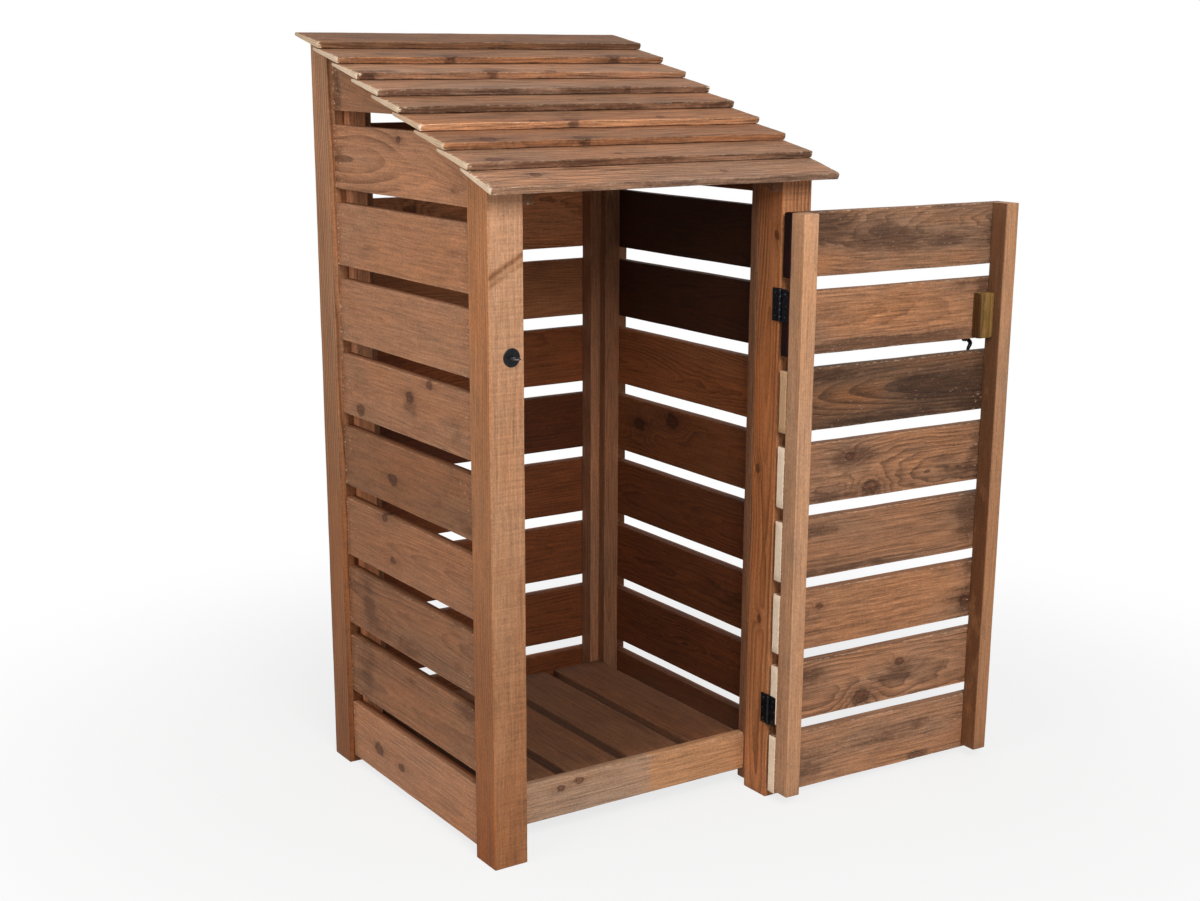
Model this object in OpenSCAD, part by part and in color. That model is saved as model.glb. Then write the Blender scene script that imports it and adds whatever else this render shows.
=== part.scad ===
// Slatted log store with a lean-to roof and a side-hung door, in millimetres.
// Front looks along -Y, width along X, up is +Z. The door is drawn open.

/* [Frame] */
// Overall width across the posts
frame_w = 840; // [600:10:1400]
// Overall depth across the posts
frame_d = 824; // [500:10:1100]
// Underside of the roof above the front faces of the posts
front_h = 1498; // [1000:10:2000]
// Slope of the roof in degrees
roof_pitch = 18.8; // [8:0.2:25]
// Side of the square posts
post_w = 84; // [60:1:110]

/* [Boards] */
// Height of every wall, door and floor board
board_h = 146; // [100:1:180]
// Thickness of the boards, battens and bearers
board_t = 27; // [18:1:34]
// Open slot between two boards of a wall
slot_h = 32; // [15:1:60]
// Height of the lowest wall board above the ground
wall_z = 18; // [5:1:60]
// Set-back of the wall boards from the outer faces of the posts
wall_inset = 13; // [5:1:20]

/* [Base] */
// Underside of the front rail above the ground
rail_z = 46; // [20:1:90]
// Height of the front rail
rail_h = 95; // [70:1:140]
// Step from the top of the front rail down to the floor
floor_step = 5; // [2:1:15]
// Height of the floor bearers and roof battens
batten_h = 45; // [30:1:60]

/* [Roof] */
// Overhang at each side
eave_side = 26; // [10:1:60]
// Overhang at the front, measured level
eave_front = 60; // [20:1:90]
// Overhang at the back, measured level
eave_back = 30; // [10:1:60]
// How far each roof board laps over the next one down
roof_lap = 29; // [15:1:40]
// Thin upper edge of a roof board
roof_thin = 8; // [5:1:12]
// Thick lower edge of a roof board
roof_thick = 17; // [12:1:26]

/* [Door] */
// Gap between the closed door and the post with the eye
latch_gap = 31; // [10:1:60]
// Height of the door bottom above the ground
door_z = 20; // [10:1:60]
// Pitch of the door boards
door_pitch = 177.5; // [150:0.5:210]
// Depth of the two door stiles
stile_t = 48; // [30:1:50]
// Width of the two door stiles
stile_w = 40; // [30:1:60]
// How far the stiles stop short of the boards at the bottom
stile_up = 8; // [2:1:20]
// Angle the door stands open in degrees
door_open = 178; // [170:1:180]

/* [Hinges] */
// Gap between the door edge and the post
hinge_gap = 5; // [5:0.5:8]
// Height of a hinge
hinge_h = 75; // [60:1:100]
// Width of a hinge leaf on the timber
leaf_w = 23; // [16:1:25]
// Thickness of a hinge leaf
leaf_t = 2; // [1.5:0.1:2.4]
// Outer radius of the knuckle
knuckle_r = 4; // [3.5:0.1:5]
// Radius of the hinge pin
pin_r = 1.8; // [1.5:0.1:2]
// Distance from the door ends to the hinge centres
hinge_in = 208; // [120:1:300]

/* [Hook] */
// Drop of the hook and its eye below the middle of the last door board but one
hook_drop = 16; // [0:1:40]
// Radius of the two round plates
rose_r = 20; // [14:0.5:24]
// Thickness of the round plates
rose_t = 2; // [1.5:0.1:3]
// Radius of the hook bar
hook_r = 2.8; // [2:0.1:3.5]
// Length of the turned-down tip
tip_len = 15; // [10:1:20]
// Distance of the eye from the inner face of its post
eye_in = 30.5; // [25:0.5:40]
// Height of the block behind the hook plate
block_h = 108; // [70:1:130]
// Width of the block behind the hook plate
block_w = 44; // [30:1:60]

/* [Hidden] */
$fn = 48;
tan_p = tan(roof_pitch);
cos_p = cos(roof_pitch);
sin_p = sin(roof_pitch);
pitch_h = board_h + slot_h;
wall_in = wall_inset + board_t;
back_h = front_h + frame_d * tan_p;
// Running fits and gaps
pin_fit = 0.05;
knuckle_fit = 0.5;
clip_gap = 3;
lap_gap = 0.1;
slat_gap = 2;
slat_slot = 12;
door_head = 5;
over_cut = 0.005;
// Roof lines, s down the slope from the back edge and n square to it
roof_n = 9;
roof_yb = frame_d + eave_back;
roof_run = (frame_d + eave_back + eave_front) / cos_p;
roof_step = (roof_run - roof_lap) / roof_n;
roof_bw = roof_step + roof_lap;
lap_t = roof_thin + roof_lap * (roof_thick - roof_thin) / roof_bw + lap_gap;
roof_zb = front_h + roof_yb * tan_p;
// Ironwork
axis_gap = 0.5;
knuckle_n = 5;
pin_proud = 1;
pin_head_r = knuckle_r - 0.8;
pin_head_h = 1.6;
hook_side = 4;
hook_off = 8;
hub_r = hook_r + 4;
hub_h = 5;
stud_gap = 0.7;
stud_head_r = hook_r + 2.2;
stud_head_h = 1.8;
ring_r = hook_r + 3.6;
ring_tube = 1.8;
shank_r = 2.2;
// Door and hinge lines, for the closed door
post_in = frame_w - post_w;
door_x1 = post_in - hinge_gap;
door_x0 = post_w + latch_gap;
door_w = door_x1 - door_x0;
door_n = floor((front_h - batten_h / cos_p - door_head - door_z - board_h) / door_pitch) + 1;
door_top = door_z + (door_n - 1) * door_pitch + board_h;
axis_x = post_in - hinge_gap / 2;
axis_y = -knuckle_r - axis_gap;
hinge_z1 = door_z + hinge_in;
hinge_z2 = door_top - hinge_in;
// Hook lines, for the closed door
hook_x = door_x0 + stile_w + block_w / 2 - hook_side;
hook_y = -rose_t - hook_off;
hook_z = door_z + (door_n - 2) * door_pitch + board_h / 2 - hook_drop;
eye_x = post_w - eye_in;
hook_len = hook_x - eye_x;
// Overall box, used to put the origin under its middle
swing = 180 - door_open;
open_dx = axis_x - door_x0;
open_dy = board_t + stile_t - axis_y;
box_x0 = -eave_side;
box_x1 = axis_x + open_dx * cos(swing) + axis_y * sin(swing);
box_y0 = axis_y - open_dy * cos(swing) - open_dx * sin(swing);
box_y1 = roof_yb;
org_x = (box_x0 + box_x1) / 2;
org_y = (box_y0 + box_y1) / 2;

// Moves the working corner so that the origin lies under the middle of the whole
module place() {
    translate([-org_x, -org_y, 0])
        children();
}

// Swings parts drawn for the closed door to the open rest pose
module door_place() {
    place()
        translate([axis_x, axis_y, 0])
            rotate([0, 0, door_open])
                translate([-axis_x, -axis_y, 0])
                    children();
}

// Everything below the underside of the roof, less a square drop
module under_roof(drop) {
    rotate([90, 0, 90])
        linear_extrude(height = frame_w)
            polygon([
                [0, 0],
                [frame_d, 0],
                [frame_d, back_h - drop / cos_p],
                [0, front_h - drop / cos_p]
            ]);
}

module post(x, y) {
    place()
        intersection() {
            translate([x, y, 0])
                cube([post_w, post_w, back_h]);
            under_roof(0);
        }
}

// One wall of level boards, cut to the roof at the top
module wall(x, y, w, d) {
    n = ceil((back_h - wall_z) / pitch_h);
    place()
        intersection() {
            union() {
                for (i = [0 : n - 1])
                    translate([x, y, wall_z + i * pitch_h])
                        cube([w, d, board_h]);
            }
            under_roof(clip_gap);
        }
}

module batten(x, y, w, d, drop) {
    intersection() {
        translate([x, y, wall_z])
            cube([w, d, back_h]);
        under_roof(drop);
    }
}

module post_front_left() {
    color([0.62, 0.45, 0.32])
        post(0, 0);
}

module post_front_right() {
    color([0.62, 0.45, 0.32])
        post(frame_w - post_w, 0);
}

module post_back_left() {
    color([0.62, 0.45, 0.32])
        post(0, frame_d - post_w);
}

module post_back_right() {
    color([0.62, 0.45, 0.32])
        post(frame_w - post_w, frame_d - post_w);
}

module left_wall_boards() {
    color([0.6, 0.45, 0.34])
        wall(wall_inset, post_w, board_t, frame_d - 2 * post_w);
}

module right_wall_boards() {
    color([0.6, 0.45, 0.34])
        wall(frame_w - wall_in, post_w, board_t, frame_d - 2 * post_w);
}

module back_wall_boards() {
    color([0.6, 0.45, 0.34])
        wall(post_w, frame_d - wall_in, frame_w - 2 * post_w, board_t);
}

module left_wall_battens() {
    color([0.55, 0.38, 0.26])
        place() {
            batten(wall_in, post_w, post_w - wall_in, board_t, clip_gap);
            batten(wall_in, frame_d - post_w - board_t, post_w - wall_in, board_t, clip_gap);
        }
}

module right_wall_battens() {
    color([0.55, 0.38, 0.26])
        place() {
            batten(frame_w - post_w, post_w, post_w - wall_in, board_t, clip_gap);
            batten(frame_w - post_w, frame_d - post_w - board_t, post_w - wall_in, board_t, clip_gap);
        }
}

module back_wall_battens() {
    color([0.55, 0.38, 0.26])
        place() {
            batten(post_w, frame_d - post_w, board_t, post_w - wall_in, batten_h);
            batten(frame_w - post_w - board_t, frame_d - post_w, board_t, post_w - wall_in, batten_h);
        }
}

module roof_battens() {
    color([0.55, 0.38, 0.26])
        place()
            for (x = [post_w, frame_w - post_w - board_t])
                translate([x, 0, 0])
                    rotate([90, 0, 90])
                        linear_extrude(height = board_t)
                            polygon([
                                [0, front_h - batten_h / cos_p],
                                [frame_d - wall_in, front_h - batten_h / cos_p + (frame_d - wall_in) * tan_p],
                                [frame_d - wall_in, front_h + (frame_d - wall_in) * tan_p],
                                [0, front_h]
                            ]);
}

module front_rail() {
    color([0.5, 0.38, 0.28])
        place()
            translate([post_w, post_w, rail_z])
                cube([frame_w - 2 * post_w, board_t, rail_h]);
}

module floor_bearers() {
    floor_z = rail_z + rail_h - floor_step;
    color([0.5, 0.36, 0.26])
        place()
            for (y = [post_w + board_t, frame_d - post_w - board_t])
                translate([post_w, y, floor_z - board_t - batten_h])
                    cube([frame_w - 2 * post_w, board_t, batten_h]);
}

module floor_slats() {
    floor_z = rail_z + rail_h - floor_step;
    span = frame_w - 2 * post_w - 2 * slat_gap;
    n = floor((span + slat_slot) / (board_h + slat_slot));
    gap = (span - n * board_h) / (n - 1);
    color([0.55, 0.4, 0.28])
        place()
            for (i = [0 : n - 1])
                translate([post_w + slat_gap + i * (board_h + gap), post_w + board_t + slat_gap, floor_z - board_t])
                    cube([board_h, frame_d - 2 * post_w - board_t - 2 * slat_gap, board_t]);
}

// Height of the lower edge of board k above the roof line. The lowest board lies flat. Each
// of the others rests on the one below it, on its face or on its upper edge.
function roof_lift(k) = k == roof_n - 1 ? 0 : max(
    lap_t + roof_lift(k + 1) * roof_lap / roof_bw,
    (roof_thin + lap_gap) * roof_bw / roof_step
);

// Lapped roof board k, counted from the back
module roof_board(k) {
    s0 = k * roof_step;
    s1 = s0 + roof_bw;
    n1 = roof_lift(k);
    color([0.6, 0.44, 0.33])
        place()
            translate([-eave_side, roof_yb, roof_zb])
                rotate([90, 0, 90])
                    linear_extrude(height = frame_w + 2 * eave_side)
                        polygon([
                            [-s0 * cos_p, -s0 * sin_p],
                            [-s1 * cos_p - n1 * sin_p, -s1 * sin_p + n1 * cos_p],
                            [
                                -s1 * cos_p - (n1 + roof_thick) * sin_p,
                                -s1 * sin_p + (n1 + roof_thick) * cos_p
                            ],
                            [-s0 * cos_p - roof_thin * sin_p, -s0 * sin_p + roof_thin * cos_p]
                        ]);
}

// Knuckle rings number a, a+2 and so on
module knuckles(a) {
    seg = hinge_h / knuckle_n;
    for (i = [a : 2 : knuckle_n - 1])
        translate([axis_x, axis_y, i * seg + knuckle_fit / 2])
            cylinder(r = knuckle_r, h = seg - knuckle_fit);
}

// Slots in a leaf where the rings of the other leaf turn
module leaf_slots(a, x) {
    seg = hinge_h / knuckle_n;
    for (i = [a : 2 : knuckle_n - 1])
        translate([x - over_cut, axis_y - knuckle_r, i * seg - knuckle_fit / 2])
            cube([leaf_t + 2 * over_cut, knuckle_r * 2 + knuckle_fit, seg + knuckle_fit]);
}

// One half of a hinge: the leaf at x with the rings from a, and slots for the rings from b
module hinge_half(x, a, b) {
    difference() {
        union() {
            difference() {
                translate([x, axis_y, knuckle_fit / 2])
                    cube([leaf_t, leaf_w - axis_y, hinge_h - knuckle_fit]);
                leaf_slots(b, x);
            }
            knuckles(a);
        }
        translate([axis_x, axis_y, -1])
            cylinder(r = pin_r + pin_fit, h = hinge_h + 2);
    }
}

module hinge_post(z) {
    color([0.1, 0.1, 0.11])
        place()
            translate([0, 0, z - hinge_h / 2])
                hinge_half(post_in - leaf_t, 0, 1);
}

module hinge_door(z) {
    color([0.1, 0.1, 0.11])
        door_place()
            translate([0, 0, z - hinge_h / 2])
                hinge_half(door_x1, 1, 0);
}

module hinge_pins() {
    color([0.2, 0.2, 0.21])
        place()
            for (z = [hinge_z1, hinge_z2])
                translate([axis_x, axis_y, z - hinge_h / 2]) {
                    cylinder(r = pin_r, h = hinge_h + pin_proud);
                    translate([0, 0, hinge_h - knuckle_fit / 2])
                        cylinder(r = pin_head_r, h = pin_head_h);
                }
}

module door_boards() {
    color([0.6, 0.45, 0.34])
        door_place()
            for (i = [0 : door_n - 1])
                translate([door_x0, 0, door_z + i * door_pitch])
                    cube([door_w, board_t, board_h]);
}

module door_stile(x) {
    color([0.66, 0.5, 0.38])
        door_place()
            translate([x, board_t, door_z + stile_up])
                cube([stile_w, stile_t, door_top - door_z - stile_up]);
}

module door_block() {
    color([0.6, 0.5, 0.26])
        door_place()
            translate([door_x0 + stile_w, board_t, hook_z - block_h / 2])
                cube([block_w, board_t, block_h]);
}

module hook_plate() {
    head_at = rose_t + hook_off + hub_h / 2 + stud_gap;
    color([0.1, 0.1, 0.11])
        door_place()
            translate([hook_x, 0, hook_z])
                rotate([90, 0, 0]) {
                    cylinder(r = rose_r, h = rose_t);
                    cylinder(r = hook_r, h = head_at + stud_head_h / 2);
                    translate([0, 0, head_at])
                        cylinder(r = stud_head_r, h = stud_head_h);
                }
}

// Hook arm drawn hanging straight down
module hook_arm() {
    color([0.1, 0.1, 0.11])
        door_place()
            translate([hook_x, hook_y, hook_z])
                difference() {
                    union() {
                        rotate([90, 0, 0])
                            translate([0, 0, -hub_h / 2])
                                cylinder(r = hub_r, h = hub_h);
                        translate([0, 0, -hook_len])
                            cylinder(r = hook_r, h = hook_len - hook_r - pin_fit);
                        translate([0, 0, -hook_len])
                            sphere(r = hook_r);
                        translate([0, 0, -hook_len])
                            rotate([0, 90, 0])
                                cylinder(r = hook_r, h = tip_len);
                    }
                    rotate([90, 0, 0])
                        translate([0, 0, -hub_h])
                            cylinder(r = hook_r + pin_fit, h = 2 * hub_h);
                }
}

module eye_plate() {
    color([0.1, 0.1, 0.11])
        place()
            translate([eye_x, 0, hook_z]) {
                rotate([90, 0, 0])
                    cylinder(r = rose_r, h = rose_t);
                rotate([90, 0, 0])
                    cylinder(r = shank_r, h = -hook_y - ring_r);
                translate([0, hook_y, 0])
                    rotate_extrude()
                        translate([ring_r, 0])
                            circle(r = ring_tube);
            }
}

post_front_left();
post_front_right();
post_back_left();
post_back_right();
left_wall_boards();
right_wall_boards();
back_wall_boards();
left_wall_battens();
right_wall_battens();
back_wall_battens();
roof_battens();
front_rail();
floor_bearers();
floor_slats();
roof_board(0);  // roof_board_1
roof_board(1);  // roof_board_2
roof_board(2);  // roof_board_3
roof_board(3);  // roof_board_4
roof_board(4);  // roof_board_5
roof_board(5);  // roof_board_6
roof_board(6);  // roof_board_7
roof_board(7);  // roof_board_8
roof_board(8);  // roof_board_9
hinge_post(hinge_z2);  // hinge_post_upper
hinge_post(hinge_z1);  // hinge_post_lower
hinge_pins();
eye_plate();
door_boards();
door_stile(door_x1 - stile_w);  // door_stile_hinge
door_stile(door_x0);  // door_stile_free
door_block();
hinge_door(hinge_z2);  // hinge_door_upper
hinge_door(hinge_z1);  // hinge_door_lower
hook_plate();
hook_arm();
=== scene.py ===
"""Looks of the slatted timber log store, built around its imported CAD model.

Sizes are millimetres in a working frame whose corner is the outer front foot of the
left post: x along the front, y towards the back, z up, with the door closed.
at_rest() and swung() take working points to metres in the shared frame, and swung()
also turns them with the open door.

Inside a timber, u runs along it, a across its width and b through its thickness, all
from its middle.
"""

import math

import bpy
import numpy as np
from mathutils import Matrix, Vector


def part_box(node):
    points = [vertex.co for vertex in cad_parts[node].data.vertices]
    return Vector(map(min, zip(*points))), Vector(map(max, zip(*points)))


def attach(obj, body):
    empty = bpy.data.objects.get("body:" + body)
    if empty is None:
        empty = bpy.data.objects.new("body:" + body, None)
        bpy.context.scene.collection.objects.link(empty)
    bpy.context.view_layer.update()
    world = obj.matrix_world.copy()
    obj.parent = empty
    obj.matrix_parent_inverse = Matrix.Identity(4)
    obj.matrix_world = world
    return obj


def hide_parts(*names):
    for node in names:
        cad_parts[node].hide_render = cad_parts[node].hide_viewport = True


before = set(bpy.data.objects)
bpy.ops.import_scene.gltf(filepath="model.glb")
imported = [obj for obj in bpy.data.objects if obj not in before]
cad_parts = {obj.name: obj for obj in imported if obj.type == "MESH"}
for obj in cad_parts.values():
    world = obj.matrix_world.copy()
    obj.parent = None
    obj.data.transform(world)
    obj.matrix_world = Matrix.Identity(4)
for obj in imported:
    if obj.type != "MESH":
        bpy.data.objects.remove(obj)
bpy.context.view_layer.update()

MM = 0.001

# ---------------------------------------------------------------- sizes, in mm
FRAME_W, FRAME_D, FRONT_H = 840.0, 824.0, 1498.0
SLOPE = math.radians(18.8)
RISE = math.tan(SLOPE)
POST = 84.0
BOARD_H, BOARD_T, SLOT = 146.0, 27.0, 32.0
WALL_Z, WALL_IN = 18.0, 13.0
BATTEN = 45.0
RAIL_Z, RAIL_H, FLOOR_STEP = 46.0, 95.0, 5.0
EAVE_SIDE, EAVE_FRONT, EAVE_BACK = 26.0, 60.0, 30.0
ROOF_N, ROOF_LAP, ROOF_THIN, ROOF_THICK, LAP_GAP = 9, 29.0, 8.0, 17.0, 0.1
HINGE_GAP, LATCH_GAP, DOOR_Z, DOOR_PITCH, DOOR_N = 5.0, 31.0, 20.0, 177.5, 8
STILE_T, STILE_W, STILE_UP = 48.0, 40.0, 8.0
DOOR_OPEN = math.radians(178.0)
HINGE_H, LEAF_W, LEAF_T, KNUCKLE_R, PIN_R = 75.0, 23.0, 2.0, 4.0, 1.8
HINGE_IN, KNUCKLES, KNUCKLE_FIT, AXIS_GAP = 208.0, 5, 0.5, 0.5
ROSE_R, ROSE_T, HOOK_R, HOOK_OFF, TIP_LEN = 20.0, 2.0, 2.8, 8.0, 15.0
HOOK_DROP, HOOK_SIDE, EYE_IN, HUB_H = 16.0, 4.0, 30.5, 5.0
BLOCK_H, BLOCK_W = 108.0, 44.0

DOOR_X1 = FRAME_W - POST - HINGE_GAP
DOOR_X0 = POST + LATCH_GAP
DOOR_TOP = DOOR_Z + (DOOR_N - 1) * DOOR_PITCH + BOARD_H
AXIS_X = FRAME_W - POST - HINGE_GAP / 2
AXIS_Y = -KNUCKLE_R - AXIS_GAP
HINGE_ZS = {"lower": DOOR_Z + HINGE_IN, "upper": DOOR_TOP - HINGE_IN}
HOOK_X = DOOR_X0 + STILE_W + BLOCK_W / 2 - HOOK_SIDE
HOOK_Y = -ROSE_T - HOOK_OFF
HOOK_Z = DOOR_Z + (DOOR_N - 2) * DOOR_PITCH + BOARD_H / 2 - HOOK_DROP
EYE_X = POST - EYE_IN
HOOK_LEN = HOOK_X - EYE_X
INNER = WALL_IN + BOARD_T
FLOOR_Z = RAIL_Z + RAIL_H - FLOOR_STEP

CORNER = np.array(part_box("post_front_left")[0])


def at_rest(points):
    """Working millimetres to metres: scaled, then moved to the foot of the left post."""
    return points * MM + CORNER


def swung(points):
    """The same for the door: turned about the hinge axis by the opening angle first."""
    x, y = points[:, 0] - AXIS_X, points[:, 1] - AXIS_Y
    c, s = math.cos(DOOR_OPEN), math.sin(DOOR_OPEN)
    turned = np.stack([AXIS_X + c * x - s * y, AXIS_Y + s * x + c * y, points[:, 2]], axis=1)
    return at_rest(turned)


MOVES = {"store": at_rest, "door": swung, "hook": swung}


def roof_line(y):
    """Height of the underside of the roof above a depth y: the front height plus y times the rise."""
    return FRONT_H + y * RISE


# ---------------------------------------------------------------- surfaces
def closed_skin(rows, cols):
    """Faces of a tube whose rings are numbered from 1 and whose ends close on one point each.

    Ring i and column j meet at 1 + i * cols + j, with the columns wrapping round.
    """
    i, j = np.meshgrid(np.arange(rows - 1), np.arange(cols), indexing="ij")
    here, beside = 1 + i * cols + j, 1 + i * cols + (j + 1) % cols
    quads = np.stack([here, beside, beside + cols, here + cols], axis=-1).reshape(-1, 4)
    ring = np.arange(cols)
    first = np.stack([np.zeros(cols, int), 1 + (ring + 1) % cols, 1 + ring], axis=1)
    base = 1 + (rows - 1) * cols
    last = np.stack([np.full(cols, 1 + rows * cols), base + ring, base + (ring + 1) % cols], axis=1)
    return quads, np.concatenate([first, last])


def wrapped_skin(rows, cols):
    """Faces of a ring whose rows and columns both wrap round, for a torus."""
    i, j = np.meshgrid(np.arange(rows), np.arange(cols), indexing="ij")
    near, far = j, (j + 1) % cols
    here, there = i * cols, (i + 1) % rows * cols
    quads = np.stack([here + near, here + far, there + far, there + near], axis=-1)
    return quads.reshape(-1, 4), np.zeros((0, 3), int)


def facing_out(points, quads, tris):
    """The faces, turned over if the volume that they enclose comes out negative.

    The volume is the sum of the tetrahedra from the origin to each face.
    """
    fan = np.concatenate([quads[:, [0, 1, 2]], quads[:, [0, 2, 3]], tris])
    a, b, c = (points[fan[:, k]] for k in range(3))
    if np.einsum("ij,ij->i", a, np.cross(b, c)).sum() < 0:
        return quads[:, ::-1], tris[:, ::-1]
    return quads, tris


def piece(name, parts, material, body, stands_for):
    """One object from several closed skins in working mm, riding on a body in place of its CAD nodes."""
    quads, tris, start = [], [], 0
    for part in parts:
        q, t = facing_out(part["points"], part["quads"], part["tris"])
        quads.append(q + start)
        tris.append(t + start)
        start += len(part["points"])
    points = MOVES[body](np.concatenate([part["points"] for part in parts]))
    mesh = bpy.data.meshes.new(name)
    faces = np.concatenate(quads).tolist() + np.concatenate(tris).tolist()
    mesh.from_pydata(points.tolist(), [], faces)
    mesh.polygons.foreach_set("use_smooth", np.ones(len(faces), bool))
    for key in parts[0].get("layers", {}):
        values = np.concatenate([part["layers"][key] for part in parts]).astype(np.float32)
        vector = values.ndim == 2
        layer = mesh.attributes.new(key, "FLOAT_VECTOR" if vector else "FLOAT", "POINT")
        layer.data.foreach_set("vector" if vector else "value", values.ravel())
    mesh.update()
    mesh.materials.append(material)
    thing = bpy.data.objects.new(name, mesh)
    bpy.context.scene.collection.objects.link(thing)
    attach(thing, body)
    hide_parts(*stands_for)


def eased_outline(width, thick, radius, across, through, turn=3):
    """A rectangle with rounded corners as one closed row of points.

    Each corner is a quarter circle; each side runs between two corners with points
    bunched towards them by a cosine.
    """
    rx, ry = width / 2 - radius, thick / 2 - radius
    middles = np.array([[rx, ry], [-rx, ry], [-rx, -ry], [rx, -ry]])
    points, arris = [], []
    for k in range(4):
        angle = (k + np.linspace(0, 1, turn + 1)) * math.pi / 2
        arc = middles[k] + radius * np.stack([np.cos(angle), np.sin(angle)], axis=1)
        n = across if k % 2 == 0 else through
        t = (1 - np.cos(np.linspace(0, math.pi, n + 1)[1:-1]))[:, None] / 2
        turned = (k + 1) * math.pi / 2
        start = arc[-1]
        end = middles[(k + 1) % 4] + radius * np.array([math.cos(turned), math.sin(turned)])
        points += [arc, start + (end - start) * t]
        arris += [np.ones(turn + 1), np.zeros(n - 1)]
    return np.concatenate(points), np.concatenate(arris)


def wander(t, draw, wave=420.0, parts=4):
    """A slow drift between 0 and 1 along t: sines of falling length and size with drawn phases."""
    k = np.arange(1, parts + 1)
    lengths = draw.uniform(0.7, 1.3, parts) * wave / k
    phases = draw.uniform(0, 2 * math.pi, parts)
    total = (np.sin(2 * math.pi * np.asarray(t)[..., None] / lengths + phases) / k).sum(axis=-1)
    return 0.5 + 0.5 * total / (1 / k).sum()


CUP_WAVE, CUP_SHIFT = 300.0, 90.0


def timber(
    length, width, thick, draw, radius=1.8, step=26.0, warp=0.7, fray=0.5, across=12, through=4, wane=None
):
    """One sawn timber as a closed skin about the origin: length on u, width on a, thickness on b.

    An eased rectangle is carried along u in steps of about step. Its two edges and two
    faces lose up to warp by slow drift, its ends are rings that shrink to a pole, and the
    rim of each end is eased and frayed inwards by up to fray. wane moves (a, b) last.
    """
    outline, arris = eased_outline(width, thick, radius, across, through)
    cols = len(outline)
    half = length / 2
    inner = np.linspace(-half + radius, half - radius, max(3, int(length / step)) + 1)
    caps = np.array([0.4, 0.75])
    u = np.concatenate([np.full(3, -half), inner, np.full(3, half)])
    shrink = np.concatenate([caps, [1.0], np.ones(len(inner)), [1.0], caps[::-1]])
    eased = np.zeros(len(u))
    eased[[2, -3]] = radius * 0.8
    a = outline[None, :, 0] * (shrink * (1 - 2 * eased / width))[:, None]
    b = outline[None, :, 1] * (shrink * (1 - 2 * eased / thick))[:, None]
    u_grid = np.repeat(u[:, None], cols, axis=1)
    flat = np.stack([u_grid, a, b], axis=-1)
    side = a / (width / 2)
    face = b / (thick / 2)
    edges = wander(u_grid, draw) * (1 + side) + wander(u_grid, draw) * (1 - side)
    upper = wander(u_grid + CUP_SHIFT * side, draw, CUP_WAVE) * (1 + face)
    lower = wander(u_grid - CUP_SHIFT * side, draw, CUP_WAVE) * (1 - face)
    a2 = a * (1 - warp * edges / width)
    b2 = b * (1 - warp * (upper + lower) / thick)
    ragged = fray * draw.uniform(0, 1, cols)[None, :] * np.where(shrink >= 1, 1.0, shrink)[:, None]
    pull = np.where(np.abs(u_grid) > half - radius - 1e-6, ragged * arris[None, :], 0)
    u2 = u_grid - np.sign(u_grid) * pull
    if wane is not None:
        a2, b2 = wane(u2, a2, b2)
    bent = np.stack([u2, a2, b2], axis=-1)
    poles = np.array([[-half, 0, 0], [half, 0, 0]])

    def with_poles(grid, ends):
        return np.concatenate([ends[:1], grid.reshape(-1, *grid.shape[2:]), ends[1:]])

    quads, tris = closed_skin(len(u), cols)
    at_end = np.zeros((len(u), cols))
    at_end[:3] = at_end[-3:] = 1
    rim = np.repeat(arris[None, :], len(u), axis=0)
    rim[:2] = rim[-2:] = 0
    rim[2] = rim[-3] = 1
    grain = with_poles(flat, poles) * MM
    return {
        "points": with_poles(bent, poles),
        "quads": quads,
        "tris": tris,
        "layers": {
            "grain": grain,
            "sawn_end": with_poles(at_end, np.ones(2)),
            "arris": with_poles(rim, np.zeros(2)),
            "to_end": half * MM - np.abs(grain[:, 0]),
        },
    }


def smudges(*spots):
    """A stain made of soft ovals (along, across, half length, half width, amount).

    Each is its amount times exp(-d * d), d being the distance in half sizes.
    """

    def stain(u, a, b):
        return sum(s * np.exp(-(((u - x) / rx) ** 2) - ((a - y) / ry) ** 2) for x, y, rx, ry, s in spots)

    return stain


KNOTS = 3
NO_KNOT = (5000.0, 0.0, 5.0)


def looks(
    part, draw, warm=0.5, value=1.0, raw=0.2, pith=None, rings=(5.0, 0.4, 16.0),
    knots=(), stain=0.0, soak=0.0, saw=0.02
):
    """Gives a timber its own wood, as attributes that the shader reads.

    warm runs from the cool to the hot colour, and raw is how bare the sawn ends are. pith
    is where the heart runs (across, through, lean) in mm and mm per mm. rings is their
    spacing in mm, how dark they are and how far they drift in mm. Each knot is (along,
    across, radius) in mm. value, the darkness of the rings, stain, soak and saw
    are numbers or functions of (u, a, b) in mm: value is the brightness, which also carries
    painted light and shade on some faces, stain runs from -1 for a brown smudge to 1 for
    more orange, soak is how much darker the wood is made, by soaking and by
    painted shade, and saw is how strong the saw marks are.
    """
    n = len(part["points"])
    layers = part["layers"]
    u, a, b = (layers["grain"] / MM).T

    def spread(amount):
        return amount(u, a, b) if callable(amount) else np.full(n, float(amount))

    if pith is None:
        sign = 1 if draw.random() < 0.5 else -1
        pith = (draw.uniform(-40, 40), sign * draw.uniform(25, 75), draw.uniform(-0.05, 0.05))
    layers["pith"] = np.tile((pith[0] * MM, pith[1] * MM, pith[2]), (n, 1))
    spacing, darkness, drift = rings
    layers["rings"] = np.stack([spread(spacing * MM), spread(darkness), spread(drift * MM)], axis=1)
    layers["tone"] = np.stack([spread(warm), spread(value), spread(raw)], axis=1)
    layers["shift"] = np.tile(draw.uniform(-40, 40, 3), (n, 1))
    for k, knot in enumerate(list(knots) + [NO_KNOT] * (KNOTS - len(knots))):
        layers["knot_%d" % (k + 1)] = np.tile(np.array(knot) * MM, (n, 1))
    layers["stain"], layers["soak"], layers["saw"] = spread(stain), spread(soak), spread(saw)
    return part


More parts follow.
